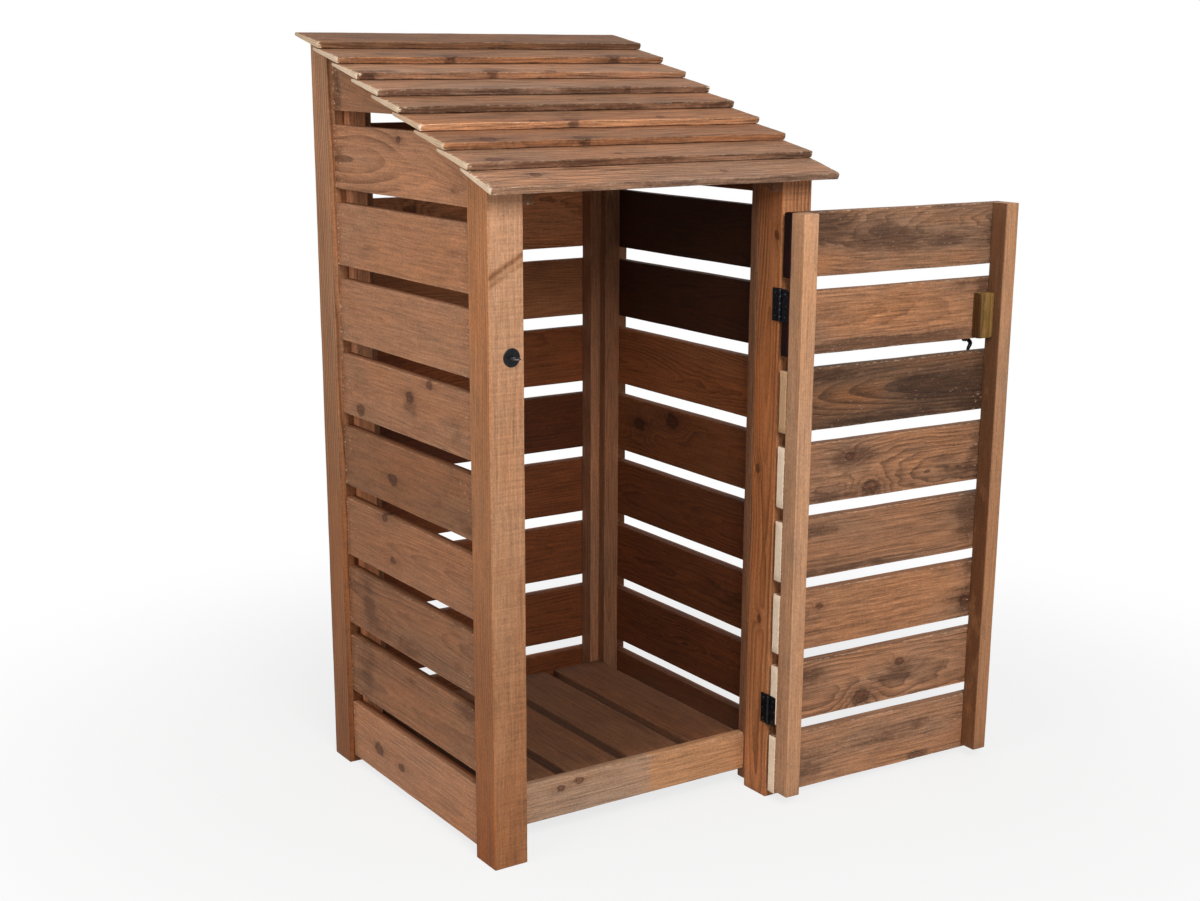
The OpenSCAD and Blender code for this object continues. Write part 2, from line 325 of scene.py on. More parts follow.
def laid(part, lo, hi, along, wide, cap=None, lean=False):
    """Puts a timber in the working frame, about the middle of the box from lo to hi.

    u, a and b go to the axes along, wide and the third. cap lowers its top to the roof
    line less that gap, and lean lifts it with the roof's rise.
    """
    through = 3 - along - wide
    lo, hi = np.array(lo, float), np.array(hi, float)
    out = np.empty_like(part["points"])
    for axis, k in ((along, 0), (wide, 1), (through, 2)):
        out[:, axis] = part["points"][:, k]
    out += (lo + hi) / 2
    if cap is not None:
        top = np.minimum(hi[2], roof_line(out[:, 1]) - cap)
        out[:, 2] = lo[2] + (out[:, 2] - lo[2]) * (top - lo[2]) / (hi[2] - lo[2])
    if lean:
        out[:, 2] += out[:, 1] * RISE
    part["points"] = out
    return part


def board(lo, hi, along, wide, draw, look=None, cap=None, lean=False, **shape):
    """A timber that fills the box from lo to hi."""
    size = np.array(hi, float) - np.array(lo, float)
    part = timber(size[along], size[wide], size[3 - along - wide], draw, **shape)
    return laid(looks(part, draw, **(look or {})), lo, hi, along, wide, cap, lean)


def square_to(axis):
    """The axis as an array, and two unit vectors square to it and to each other."""
    axis = np.array(axis, float)
    side = np.cross(axis, (0.3, 0.9, 0.2))
    side /= np.linalg.norm(side)
    return axis, side, np.cross(axis, side)


def lathe(profile, middle, axis, segments=40):
    """A profile of (radius, height) pairs turned about an axis line, closed on a point at each end.

    The first and last pairs have radius zero.
    """
    profile = np.array(profile, float)
    axis, side, other = square_to(axis)
    angle = np.linspace(0, 2 * math.pi, segments, endpoint=False)
    ring = np.cos(angle)[:, None] * side + np.sin(angle)[:, None] * other
    body = profile[1:-1, 0][:, None, None] * ring[None] + profile[1:-1, 1][:, None, None] * axis
    ends = profile[[0, -1], 1][:, None] * axis
    points = np.concatenate([ends[:1], body.reshape(-1, 3), ends[1:]]) + np.array(middle, float)
    quads, tris = closed_skin(len(profile) - 2, segments)
    return {"points": points, "quads": quads, "tris": tris}


def rod(path, radii, around=20):
    """A round bar along a path: at each point a circle set square to it, its radius from the list.

    Both ends are closed by rings that shrink as on a sphere. The circle's first axis is
    y, because every bar here lies in a plane of x and z.
    """
    path, radii = np.array(path, float), np.array(radii, float)
    ahead = np.gradient(path, axis=0)
    ahead /= np.linalg.norm(ahead, axis=1)[:, None]
    across = np.tile((0.0, 1.0, 0.0), (len(path), 1))
    up = np.cross(ahead, across)
    lead = np.linspace(0.85, 0, 4)
    swell = np.sqrt(1 - lead**2)
    start = path[0] - ahead[0] * radii[0] * lead[:, None]
    end = path[-1] + ahead[-1] * radii[-1] * lead[::-1, None]
    centres = np.concatenate([start[:-1], path, end[1:]])
    size = np.concatenate([radii[0] * swell[:-1], radii, radii[-1] * swell[::-1][1:]])
    extra = len(lead) - 1
    frame_a, frame_b = (np.pad(axis, ((extra, extra), (0, 0)), mode="edge") for axis in (across, up))
    angle = np.linspace(0, 2 * math.pi, around, endpoint=False)
    ring = np.cos(angle)[None, :, None] * frame_a[:, None] + np.sin(angle)[None, :, None] * frame_b[:, None]
    body = centres[:, None] + size[:, None, None] * ring
    first = path[0] - ahead[0] * radii[0]
    last = path[-1] + ahead[-1] * radii[-1]
    points = np.concatenate([first[None], body.reshape(-1, 3), last[None]])
    quads, tris = closed_skin(len(centres), around)
    return {"points": points, "quads": quads, "tris": tris}


def torus(middle, radius, tube, axis, around=40, turn=16):
    """A ring: a circle of the tube's radius carried round a circle of the ring's radius."""
    axis, side, other = square_to(axis)
    p, q = np.meshgrid(
        np.linspace(0, 2 * math.pi, around, endpoint=False),
        np.linspace(0, 2 * math.pi, turn, endpoint=False),
        indexing="ij",
    )
    out = np.cos(p)[..., None] * side + np.sin(p)[..., None] * other
    reach = (radius + tube * np.cos(q))[..., None]
    points = np.array(middle) + reach * out + tube * np.sin(q)[..., None] * axis
    quads, tris = wrapped_skin(around, turn)
    return {"points": points.reshape(-1, 3), "quads": quads, "tris": tris}


# ---------------------------------------------------------------- shader maths
class Wire:
    """One output of a shader tree. Arithmetic on it adds Math nodes."""

    def __init__(self, bench, socket):
        self.bench, self.socket = bench, socket

    def maths(self, operation, *values):
        inputs = {k: value for k, value in enumerate(values)}
        return self.bench.make("ShaderNodeMath", {"operation": operation}, inputs)

    def __add__(self, other):
        return self.maths("ADD", self, other)

    def __sub__(self, other):
        return self.maths("SUBTRACT", self, other)

    def __mul__(self, other):
        return self.maths("MULTIPLY", self, other)

    def __truediv__(self, other):
        return self.maths("DIVIDE", self, other)

    def __pow__(self, other):
        return self.maths("POWER", self, other)

    def __rsub__(self, other):
        return self.maths("SUBTRACT", other, self)

    def __rtruediv__(self, other):
        return self.maths("DIVIDE", other, self)

    __radd__ = __add__
    __rmul__ = __mul__

    def between(self, low, high):
        """0 below low, 1 above high, smooth in between."""
        settings = {"interpolation_type": "SMOOTHSTEP"}
        return self.bench.make("ShaderNodeMapRange", settings, {0: self, 1: low, 2: high})

    def clipped(self):
        """Held between 0 and 1."""
        return self.bench.make("ShaderNodeClamp", {}, {0: self, 1: 0.0, 2: 1.0})

    def bell(self):
        """exp of minus itself."""
        return self.bench.make("ShaderNodeMath", {"operation": "EXPONENT"}, {0: self * -1.0})

    def whole(self):
        """The whole number at or below it."""
        return self.maths("FLOOR", self)

    def most(self, other):
        """The larger of the two."""
        return self.maths("MAXIMUM", self, other)


def most_of(wires):
    """The largest of several outputs."""
    top = wires[0]
    for wire in wires[1:]:
        top = top.most(wire)
    return top


class Bench:
    """Builds the shader tree of one material or world. Every node comes from make()."""

    def __init__(self, holder):
        holder.use_nodes = True
        self.holder, self.tree = holder, holder.node_tree
        self.tree.nodes.clear()

    def make(self, kind, settings=None, inputs=None, out=0):
        """A node of that kind, its settings first, then the values or links of its sockets."""
        node = self.tree.nodes.new(kind)
        for key, value in (settings or {}).items():
            setattr(node, key, value)
        for key, value in (inputs or {}).items():
            if isinstance(value, Wire):
                self.tree.links.new(value.socket, node.inputs[key])
            else:
                node.inputs[key].default_value = value
        return Wire(self, node.outputs[out]) if len(node.outputs) else None

    def layer(self, name, out="Vector"):
        """An attribute of the mesh."""
        return self.make("ShaderNodeAttribute", {"attribute_name": name}, out=out)

    def split(self, vector):
        """The three parts of a vector."""
        return [self.make("ShaderNodeSeparateXYZ", {}, {0: vector}, out=k) for k in range(3)]

    def vector(self, operation, first, second):
        return self.make("ShaderNodeVectorMath", {"operation": operation}, {0: first, 1: second})

    def scaled(self, colour, amount):
        """The colour times the amount."""
        settings = {"operation": "SCALE"}
        return self.make("ShaderNodeVectorMath", settings, {0: colour, "Scale": amount})

    def blend(self, amount, first, second):
        """The first colour where the amount is 0, the second where it is 1."""
        settings = {"data_type": "RGBA", "blend_type": "MIX", "clamp_factor": True}
        return self.make("ShaderNodeMix", settings, {0: amount, 6: first, 7: second}, out=2)

    def noise(self, place, stretch, detail=2.0, rough=0.5):
        """Noise about 0.5, with as many waves to the metre on each axis as stretch says."""
        where = self.vector("MULTIPLY", place, stretch)
        inputs = {"Vector": where, "Scale": 1.0, "Detail": detail, "Roughness": rough}
        return self.make("ShaderNodeTexNoise", {}, inputs)

    def finish(self, colour, roughness, height, depth, strength, shine):
        """The surface and output nodes. The height feeds a bump whose depth is in metres."""
        bump = self.make("ShaderNodeBump", {}, {"Strength": strength, "Distance": depth, "Height": height})
        inputs = {"Base Color": colour, "Roughness": roughness, "Specular IOR Level": shine, "Normal": bump}
        surface = self.make("ShaderNodeBsdfPrincipled", {}, inputs)
        self.make("ShaderNodeOutputMaterial", {}, {"Surface": surface})
        return self.holder


def material_bench(name):
    return Bench(bpy.data.materials.new(name))


def paint(red, green, blue):
    """A colour given as 0 to 255 on a screen, as the linear colour that shaders use."""
    c = np.array([red, green, blue]) / 255
    linear = np.where(c <= 0.04045, c / 12.92, ((c + 0.055) / 1.055) ** 2.4)
    return (*linear.tolist(), 1.0)


class Wood:
    """One point of a timber as its shader sees it: the attributes from looks(), and noises.

    The noises are finer across the grain than along it, apart from the saw marks, which
    run across. streaks is how many fibre streaks follow one another in a metre.
    """

    def __init__(self, bench, streaks):
        self.bench = bench
        grain = bench.layer("grain")
        self.u, self.v, self.w = bench.split(grain)
        self.heart_v, self.heart_w, self.lean = bench.split(bench.layer("pith"))
        self.ring_gap, self.ring_dark, self.drift = bench.split(bench.layer("rings"))
        self.warm, self.value, self.raw = bench.split(bench.layer("tone"))
        self.stain, self.soak, self.saw = (bench.layer(key, "Fac") for key in ("stain", "soak", "saw"))
        self.sawn_end, self.arris = bench.layer("sawn_end", "Fac"), bench.layer("arris", "Fac")
        self.to_end = bench.layer("to_end", "Fac")
        place = bench.vector("ADD", grain, bench.layer("shift"))

        def noise(along, across, detail, rough=0.5):
            return bench.noise(place, (along, across, across), detail, rough)

        self.slow = noise(1.5, 4.0, 1.0) - 0.5
        self.bend = noise(6.0, 17.0, 3.0, 0.55) - 0.5
        self.crumb = noise(60.0, 95.0, 2.0, 0.6) - 0.5
        self.shown = noise(2.4, 13.0, 2.0).between(0.36, 0.62)
        self.streak = noise(streaks, 85.0, 4.0, 0.66)
        self.thread = noise(9.0, 230.0, 2.0, 0.7)
        self.marks = noise(230.0, 8.0, 1.0)
        self.grit = noise(150.0, 230.0, 2.0, 0.7)
        self.cloud = noise(3.6, 9.0, 5.0, 0.66)
        self.patch = noise(12.0, 26.0, 4.0, 0.66)
        self.tint = noise(1.8, 4.4, 2.0)
        self.tuft = noise(75.0, 230.0, 2.0, 0.7)

    def knotted(self):
        """The distance from the heart line, pushed out by the knots, and their core, rim and trail."""
        off_v = self.v - self.heart_v + self.slow * self.drift * 3.0
        off_w = self.w - self.heart_w - self.lean * self.u + self.bend * self.drift
        radius = (off_v * off_v + off_w * off_w) ** 0.5
        marks = []
        for n in range(1, KNOTS + 1):
            along, across, size = self.bench.split(self.bench.layer("knot_%d" % n))
            du, dv = (self.u - along) / size, (self.v - across) / size
            oval = du * du * 0.5 + dv * dv
            radius = radius + (oval * 0.13).bell() * size * 2.2
            reach = oval ** 0.5 + self.crumb * 1.5
            core = 1 - reach.between(0.45, 1.05)
            rim = reach.between(0.55, 0.95) * (1 - reach.between(1.0, 1.6))
            trail = (du * du * 0.03 + dv * dv * 0.45).bell()
            marks.append((core, rim, trail))
        return radius, [most_of(kind) for kind in zip(*marks)]

    def ringed(self, radius):
        """The late wood of each year, and how dark it shows. Each year has its own depth."""
        count = radius / self.ring_gap + self.slow * 4.0
        year = count.whole()
        depth = self.bench.make("ShaderNodeTexWhiteNoise", {"noise_dimensions": "1D"}, {"W": year})
        step = count - year
        late = step * step * (1 - step.between(0.9, 1.0)) * 1.35
        return late, late * self.ring_dark * (0.45 + depth * 0.55) * (0.35 + self.shown * 0.65)

    def stained(self, cool, hot, dark, fibre, blotch, ring):
        """The stain with the rings, the streaks and the blotchy smoke in it, and its deep tone."""
        k = self.bench
        warmth = self.warm + (self.tint - 0.5) * 1.3 + (self.patch - 0.5) * 0.6
        warmth = (warmth + self.stain.most(-0.3) * 0.6).clipped()
        colour = k.blend(warmth, cool, hot)
        deep = k.blend(0.66, colour, dark)
        colour = k.blend(ring.clipped(), colour, deep)
        lines = self.streak.between(0.5, 0.7) * (0.35 + self.shown) * 1.4
        lines = lines + self.streak.between(0.6, 0.7) * 1.1
        colour = k.blend((lines * fibre).clipped(), colour, deep)
        gloom = self.stain * (0.2 + self.patch * 1.6)
        smoke = (self.cloud + (self.patch - 0.5) * 0.7 - gloom * 0.35).between(0.5, 0.85)
        smoke = smoke * (blotch - gloom * 0.8).clipped() * 0.7
        return k.blend(smoke, colour, dark), deep

    def with_knots(self, colour, deep, core, rim, trail):
        """Rusty trails beside the knots, their mottled cores and their dark rims."""
        k = self.bench
        rust = k.blend(0.5, deep, paint(104, 58, 34))
        colour = k.blend((trail * (self.streak * 1.8 - 0.3)).clipped() * 0.8, colour, rust)
        mottle = (self.crumb + 0.5).between(0.36, 0.62)
        colour = k.blend(core * 0.75, colour, k.blend(mottle, paint(72, 40, 27), paint(118, 70, 44)))
        return k.blend(rim * 0.7, colour, paint(58, 36, 26))

    def lifted(self, colour, fibre):
        """Brighter and darker by the fibres, the saw marks and the grit, and by the timber's value."""
        lift = 1 + (self.thread - 0.5) * (fibre * 5.0) + (self.streak - 0.5) * (fibre * 2.2)
        lift = lift + (self.marks - 0.5) * self.saw * 4.0
        lift = lift + (self.grit - 0.5) * 0.8 + (self.patch - 0.5) * 0.5 + (self.cloud - 0.5) * 0.5
        return self.bench.scaled(colour, lift * self.value)

    def frayed(self, colour, pale, bare):
        """Bare fibres: loose ones in patches, and torn ones along the edges and near the ends."""
        k, tuft = self.bench, self.tuft
        loose = tuft.between(0.60, 0.74) * (0.3 + self.patch.between(0.45, 0.7) * 0.7)
        colour = k.blend((loose * pale).clipped(), colour, bare)
        torn = self.arris * pale * 0.9 * tuft.between(0.5, 0.62)
        torn = torn + (1 - self.to_end.between(0.002, 0.012)) * self.raw * tuft.between(0.56, 0.62)
        torn = torn + (1 - self.to_end.between(0.01, 0.1)) * self.raw * tuft.between(0.64, 0.72) * 0.6
        return k.blend(torn.clipped() * (1 - self.sawn_end), colour, bare)

    def with_ends(self, colour, bare, late):
        """The sawn ends: bare and ringed where raw is 1, in patches where it is less."""
        k, raw = self.bench, self.raw
        end_rings = k.blend(late * 0.2 + self.crumb * 0.8, bare, paint(206, 160, 114))
        shows = (raw + (self.patch - 0.5) * 2.4 * (1 - raw) + self.crumb * 1.6 * (1 - raw)).clipped()
        return k.blend((self.sawn_end * shows).clipped(), colour, end_rings)

    def soaked(self, colour):
        """Fades red least and blue most, each by exp of minus soak times its rate: the darkening of soaking
        wood and of painted shade.
        """
        passed = {n: (self.soak * rate).bell() for n, rate in enumerate((1.0, 1.6, 2.3))}
        return self.bench.vector("MULTIPLY", colour, self.bench.make("ShaderNodeCombineXYZ", {}, passed))


def sawn_wood(
    name, cool, hot, dark, fibre=0.30, blotch=0.5, rough=0.74, pale=0.15, bare=(250, 226, 196), streaks=2.6
):
    """Stained sawn softwood.

    Rings are the distance from the heart line, cut into steps of their spacing, and knots
    push them aside. fibre is how strong the fibres are, blotch how much dark smoke lies
    on the stain, pale how much of the surface shows bare fibres and bare their colour.
    """
    k = material_bench(name)
    cool, hot, dark, bare = (paint(*shade) for shade in (cool, hot, dark, bare))
    wood = Wood(k, streaks)
    radius, knots = wood.knotted()
    late, ring = wood.ringed(radius)
    colour, deep = wood.stained(cool, hot, dark, fibre, blotch, ring)
    colour = wood.with_knots(colour, deep, *knots)
    colour = wood.lifted(colour, fibre)
    colour = wood.frayed(colour, pale, bare)
    colour = wood.with_ends(colour, bare, late)
    colour = wood.soaked(colour)
    rim = knots[1]
    height = wood.streak * 0.6 + wood.thread * 0.6 + wood.marks * wood.saw * 4.0 + wood.grit * 0.4
    height = height - ring * 0.4 - rim * 0.3
    roughness = (rough + (wood.thread - 0.5) * 0.3 - ring * 0.08).clipped()
    return k.finish(colour, roughness, height, depth=0.0008, strength=0.6, shine=0.2)


def black_metal(name, tone=(9, 10, 13), rubbed_and_highlight=(28, 32, 44), rough=0.30, shine=0.2):
    """Black satin coating over steel, a little mottled and worn. A pale mottle colour, as on the eye's
    ring, is painted highlight.
    """
    k = material_bench(name)
    where = k.make("ShaderNodeTexCoord", {}, out="Object")
    mottle = k.noise(where, (160.0, 160.0, 160.0), 3.0, 0.6)
    grit = k.noise(where, (1400.0, 1400.0, 1400.0), 2.0)
    colour = k.blend(mottle.between(0.45, 0.75), paint(*tone), paint(*rubbed_and_highlight))
    roughness = (rough + (mottle - 0.5) * 0.3).clipped()
    height = mottle * 0.7 + grit * 0.3
    return k.finish(colour, roughness, height, depth=0.0004, strength=0.4, shine=shine)


# each wood: its cool, hot and dark colours
POST_WOOD = sawn_wood("post_timber", (188, 148, 118), (182, 122, 78), (100, 64, 40), fibre=0.18, blotch=0.3)
BOARD_WOOD = sawn_wood(
    "board_timber", (167, 127, 99), (187, 125, 85), (96, 60, 38),
    fibre=0.23, blotch=0.62, streaks=6.0
)
DOOR_WOOD = sawn_wood(
    "door_board_timber", (158, 119, 92), (184, 123, 80), (72, 47, 34),
    fibre=0.38, blotch=0.75, pale=0.26, bare=(255, 231, 203)
)
BATTEN_WOOD = sawn_wood("batten_timber", (124, 88, 64), (134, 84, 54), (66, 42, 28), blotch=0.4, pale=0.04)
RAIL_WOOD = sawn_wood("rail_timber", (160, 134, 114), (176, 128, 90), (112, 84, 64), blotch=0.3)
ROOF_WOOD = sawn_wood("roof_timber", (156, 122, 99), (186, 126, 84), (80, 52, 38), fibre=0.56, blotch=0.5)
STILE_WOOD = sawn_wood(
    "stile_timber", (182, 144, 116), (190, 136, 94), (84, 58, 42),
    fibre=0.18, blotch=0.12, rough=0.62, pale=0.06
)
BLOCK_WOOD = sawn_wood("block_timber", (146, 116, 66), (156, 112, 56), (62, 44, 18), blotch=0.4, pale=0.05)
BLACK = black_metal("black_iron")
# The eye's ring: glossy, and its pale grey mottle is painted highlight.
PAINTED_HIGHLIGHT_IRON = black_metal("painted_highlight_iron", (20, 21, 25), (84, 88, 98), rough=0.22, shine=0.9)
SCREW = black_metal("screw_iron", (20, 21, 24), (92, 96, 104), rough=0.28, shine=0.45)

# ---------------------------------------------------------------- posts
post_spots = {
    "front_left": (0.0, 0.0),
    "front_right": (FRAME_W - POST, 0.0),
    "back_left": (0.0, FRAME_D - POST),
    "back_right": (FRAME_W - POST, FRAME_D - POST),
}


def low_face(across):
    """Whether a point lies on the post's face with the lowest a or b, whichever is given."""
    return across < 2.5 - POST / 2


def painted_shade_towards_foot(most):
    """Painted shade that grows towards the foot, as the light falls off downwards: from nothing at the top
    to most at the ground, in a straight line.
    """
    return lambda u, a, b: most * (u.max() - u) / (u.max() - u.min())


def scar(u, a, b):
    """1 along a slanting mark on the left post's front face, fading to 0 within a finger's width."""
    slant = u - 0.56 * a
    mark = np.exp(-(((slant - 592) / 7) ** 2)) + 0.6 * np.exp(-(((slant - 574) / 5) ** 2))
    return mark * low_face(b)


def front_left_scar_and_painted_side(u, a, b):
    """Oranger on the side face, where the light on that face is painted, and darker along the scar."""
    return np.where(low_face(a), 0.6, -0.1) - 0.7 * scar(u, a, b)


def front_left_scar_and_painted_shade(u, a, b):
    """Redder along the scar; on the side face and towards the foot the darkening is painted shade."""
    return painted_shade_towards_foot(0.5)(u, a, b) + 0.32 * scar(u, a, b) + 0.09 * low_face(a)


def back_left_painted_shade(u, a, b):
    """Painted shade: darker towards the foot, and browner on the face that meets the ends of the boards, in
    the corner beside them.
    """
    return painted_shade_towards_foot(0.62)(u, a, b) + 0.12 * low_face(b)


def below_hinge(u, b):
    """1 on the lower part of the right post's side face, fading to 0 at the upper hinge."""
    return low_face(b) * np.clip((450 - u) / 250, 0, 1)


def front_right_painted_shade(u, a, b):
    """Painted shade: its side face, which looks into the store, is browner than its front."""
    return np.where(low_face(b), 0.38 + 0.08 * u / 750, 0.22) + 0.1 * below_hinge(u, b)


def sawn_front(across):
    """Saw marks on the front face alone: the lowest a if across, or else the lowest b."""
    return lambda u, a, b: 0.13 * low_face(a if across else b)


# rings are (spacing, darkness, drift): the plain sorts that several timbers share
STRAIGHT = (4.5, 0.5, 6.0)
PLAIN = (7.0, 0.25, 14.0)
LINED = (5.0, 0.7, 5.0)
SAWN = (6.0, 0.7, 8.0)
post_looks = {
    "front_left": dict(
        warm=0.3,
        # The side face is painted brighter than the front: painted light on that face.
        value=lambda u, a, b: np.where(low_face(a), 1.15, 1.07),
        pith=(-60, 110, 0.01),
        rings=(8.0, lambda u, a, b: np.where(low_face(b), 0.3, 0.9), 10.0),
        stain=front_left_scar_and_painted_side, soak=front_left_scar_and_painted_shade,
    ),
    "front_right": dict(
        warm=0.7,
        value=lambda u, a, b: 1.3 + 0.3 * below_hinge(u, b),
        pith=(-14, -64, 0.02), rings=(9.0, 1.8, 14.0), knots=[(612, -26, 6), (49, 20, 6), (-315, 0, 6)],
        soak=front_right_painted_shade,
    ),
    "back_left": dict(
        warm=0.35, value=1.12, pith=(20, -120, 0.01), rings=(9.0, 1.8, 12.0), soak=back_left_painted_shade,
    ),
    "back_right": dict(warm=0.6, value=0.9, rings=STRAIGHT, soak=painted_shade_towards_foot(0.5)),
}
for name, (x, y) in post_spots.items():
    draw = np.random.default_rng(len(name) * 7 + int(x) + int(y))
    top = roof_line(y + POST)
    wide = 1 if name == "front_right" else 0
    look = dict(saw=sawn_front(wide == 1), **post_looks[name])
    step = 5.0 if name == "front_left" else 15.0
    shape = dict(step=step, across=8, through=8, radius=1.6)
    part = board((x, y, 0), (x + POST, y + POST, top), 2, wide, draw, look, cap=0.0, **shape)
    piece("timber_post_" + name, [part], POST_WOOD, "store", ["post_" + name])


# ---------------------------------------------------------------- walls
WALL_ROWS = math.ceil((roof_line(FRAME_D) - WALL_Z) / (BOARD_H + SLOT))
ROOF_GAP = 3.0
LEAST_END = 2.0


def wall(name, lo_x, hi_x, lo_y, hi_y, along, seed, row_looks):
    """Level boards with open slots between them, cut off under the roof.

    A board of a side wall starts where the roof leaves at least LEAST_END of its height.
    """
    parts = []
    for row in range(WALL_ROWS):
        draw = np.random.default_rng(seed + row)
        z0 = WALL_Z + row * (BOARD_H + SLOT)
        y0 = max(lo_y, (z0 + ROOF_GAP + LEAST_END - FRONT_H) / RISE) if along == 1 else lo_y
        z1 = min(z0 + BOARD_H, roof_line(hi_y) - ROOF_GAP)
        lo, hi = (lo_x, y0, z0), (hi_x, hi_y, z1)
        parts.append(board(lo, hi, along, 2, draw, row_looks[row], cap=ROOF_GAP))
    piece("timber_" + name, parts, BOARD_WOOD, "store", [name])


def inside(amount, outer=0.0, side=1):
    """That amount on the half that looks into the store, where b has side's sign, and outer elsewhere."""
    return lambda u, a, b: np.where(b * side > 0, amount, outer)


def arched(u, a, b):
    """Rings that are bold on the back half of the board, faint in front of it and fair at its front end."""
    return 0.2 + 2.1 * np.clip((u + 20) / 90, 0, 1) + 0.9 * np.clip((-u - 200) / 60, 0, 1)


left_looks = {
    9: dict(warm=0.6, value=0.86, rings=PLAIN, stain=smudges((158, 10, 20, 70, -1.2))),
    8: dict(
        warm=0.6, value=1.16, pith=(0, -64, 0.164), rings=(21.0, arched, 6.0), knots=[(-1, 52, 6)],
        stain=smudges((300, 2, 60, 20, -1.0), (-250, -30, 60, 26, -0.4)),
    ),
    7: dict(warm=0.6, value=1.0, rings=PLAIN, stain=smudges((-100, -10, 120, 30, -0.2))),
    6: dict(warm=0.5, value=0.98, rings=PLAIN),
    5: dict(
        warm=0.5, value=0.92, rings=(7.0, 0.6, 26.0),
        knots=[(-26, 21, 10), (-122, 63, 8), (228, -51, 11)],
        stain=smudges((-28, 5, 26, 40, -0.6), (240, 30, 60, 30, -0.4), (-240, -20, 30, 30, -0.5)),
    ),
    4: dict(
        warm=0.3, value=0.84, rings=PLAIN, knots=[(69, -12, 12)],
        stain=smudges((-180, -40, 160, 36, -0.6), (200, -50, 60, 22, -0.4)), soak=0.2,
    ),
    3: dict(warm=0.55, value=0.88, rings=LINED, knots=[(119, 66, 8), (78, -32, 7)], soak=0.06),
    2: dict(
        warm=0.4, value=0.86, pith=(30, 60, 0.03), rings=(6.0, 1.0, 10.0),
        stain=smudges(
            (215, -5, 34, 90, -0.8), (60, -50, 160, 24, -0.5), (-100, -40, 180, 24, -0.4),
            (-150, 40, 150, 26, 0.3),
        ),
        soak=0.16,
    ),
    1: dict(
        warm=0.4, value=0.88, pith=(-20, 70, 0.0), rings=(6.0, 0.9, 8.0),
        stain=smudges((-290, 62, 60, 22, -1.0), (240, 0, 40, 90, -0.7), (0, 50, 200, 20, -0.4)),
        soak=0.16,
    ),
    0: dict(
        warm=0.55, value=1.05, rings=(8.0, 0.6, 20.0), knots=[(184, -8, 12), (63, -16, 8)],
        stain=smudges((184, -8, 26, 24, -0.3), (40, -16, 40, 18, -0.3)),
    ),
}
for row, look in left_looks.items():
    # Painted shade: the faces inside the store are darkened by 0.75, while the outer faces keep the row's
    # own soak.
    look["soak"] = inside(0.75, outer=look.get("soak", 0.0))
    look["raw"] = 0.9
# (value, soak) of the rows that show through the doorway, on their inside faces: painted shade, and painted
# light on the back wall's upper rows
right_rows_painted_shade = {7: (0.22, 0.83), 6: (0.27, 0.98), 5: (1.0, 0.56), 4: (0.68, 0.56)}
back_rows_painted_light_and_shade = {7: (1.74, 0.24), 6: (1.1, 0.32), 5: (1.05, 0.84), 4: (0.5, 1.05)}


def inner_looks(deep):
    """The boards of a wall that is seen from inside, whose rows have their own (value, soak) on the inside
    face: painted light and shade.
    """
    rows = [deep.get(row, (0.7, 0.8)) for row in range(WALL_ROWS)]
    figure = dict(warm=0.7, raw=0.0, rings=(6.0, 1.2, 24.0))
    return [dict(figure, value=inside(v, 0.95, -1), soak=inside(s, 0.0, -1)) for v, s in rows]


right_looks = inner_looks(right_rows_painted_shade)
right_looks[4].update(
    knots=[(59, 44, 15), (205, 11, 13)], stain=smudges((205, 11, 60, 30, -0.6), (59, 44, 50, 24, -0.4)),
)
back_looks = inner_looks(back_rows_painted_light_and_shade)
back_looks[7].update(
    rings=(8.0, 1.4, 40.0), knots=[(-190, 40, 10)], stain=smudges((-150, 30, 80, 50, -0.4)),
)
back_looks[6].update(knots=[(-170, -30, 9)])
wall("left_wall_boards", WALL_IN, INNER, POST, FRAME_D - POST, 1, 100, left_looks)
wall("right_wall_boards", FRAME_W - INNER, FRAME_W - WALL_IN, POST, FRAME_D - POST, 1, 200, right_looks)
wall("back_wall_boards", POST, FRAME_W - POST, FRAME_D - INNER, FRAME_D - WALL_IN, 0, 300, back_looks)


# ---------------------------------------------------------------- battens, rail and floor
def battens(name, boxes, seed, along=2, wide=0, value=0.85, **how):
    """Plain battens that fill a list of (lo, hi) boxes, as one piece."""
    parts = []
    for n, (lo, hi) in enumerate(boxes):
        draw = np.random.default_rng(seed + n)
        look = dict(warm=0.5, value=value, raw=0.0, rings=LINED)
        parts.append(board(lo, hi, along, wide, draw, look, step=40.0, across=6, through=4, **how))
    piece("timber_" + name, parts, BATTEN_WOOD, "store", [name])


def painted_light_through_slots(u, a, b):
    """The left wall's battens are painted three times as bright on the two faces that show through the
    slots: painted light falling through them.
    """
    return np.where((a < 2 - (POST - INNER) / 2) | (b < 2 - BOARD_T / 2), 3.0, 1.0)


for name, x0, x1, seed, value in (
    ("left_wall_battens", INNER, POST, 400, painted_light_through_slots),
    ("right_wall_battens", FRAME_W - POST, FRAME_W - INNER, 410, 1.0),
):
    ends = [(y, y + BOARD_T) for y in (POST, FRAME_D - POST - BOARD_T)]
    boxes = [((x0, y0, WALL_Z), (x1, y1, roof_line(y1))) for y0, y1 in ends]
    battens(name, boxes, seed, value=value, cap=ROOF_GAP)
sides = [(x, x + BOARD_T) for x in (POST, FRAME_W - POST - BOARD_T)]
upright = BATTEN / math.cos(SLOPE)
back_top = roof_line(FRAME_D - INNER)
boxes = [((x0, FRAME_D - POST, WALL_Z), (x1, FRAME_D - INNER, back_top)) for x0, x1 in sides]
battens("back_wall_battens", boxes, 420, wide=1, value=1.3, cap=upright)
boxes = [((x0, 0, FRONT_H - upright), (x1, FRAME_D - WALL_IN, FRONT_H)) for x0, x1 in sides]
battens("roof_battens", boxes, 430, along=1, wide=2, lean=True)
slat_z = FLOOR_Z - BOARD_T
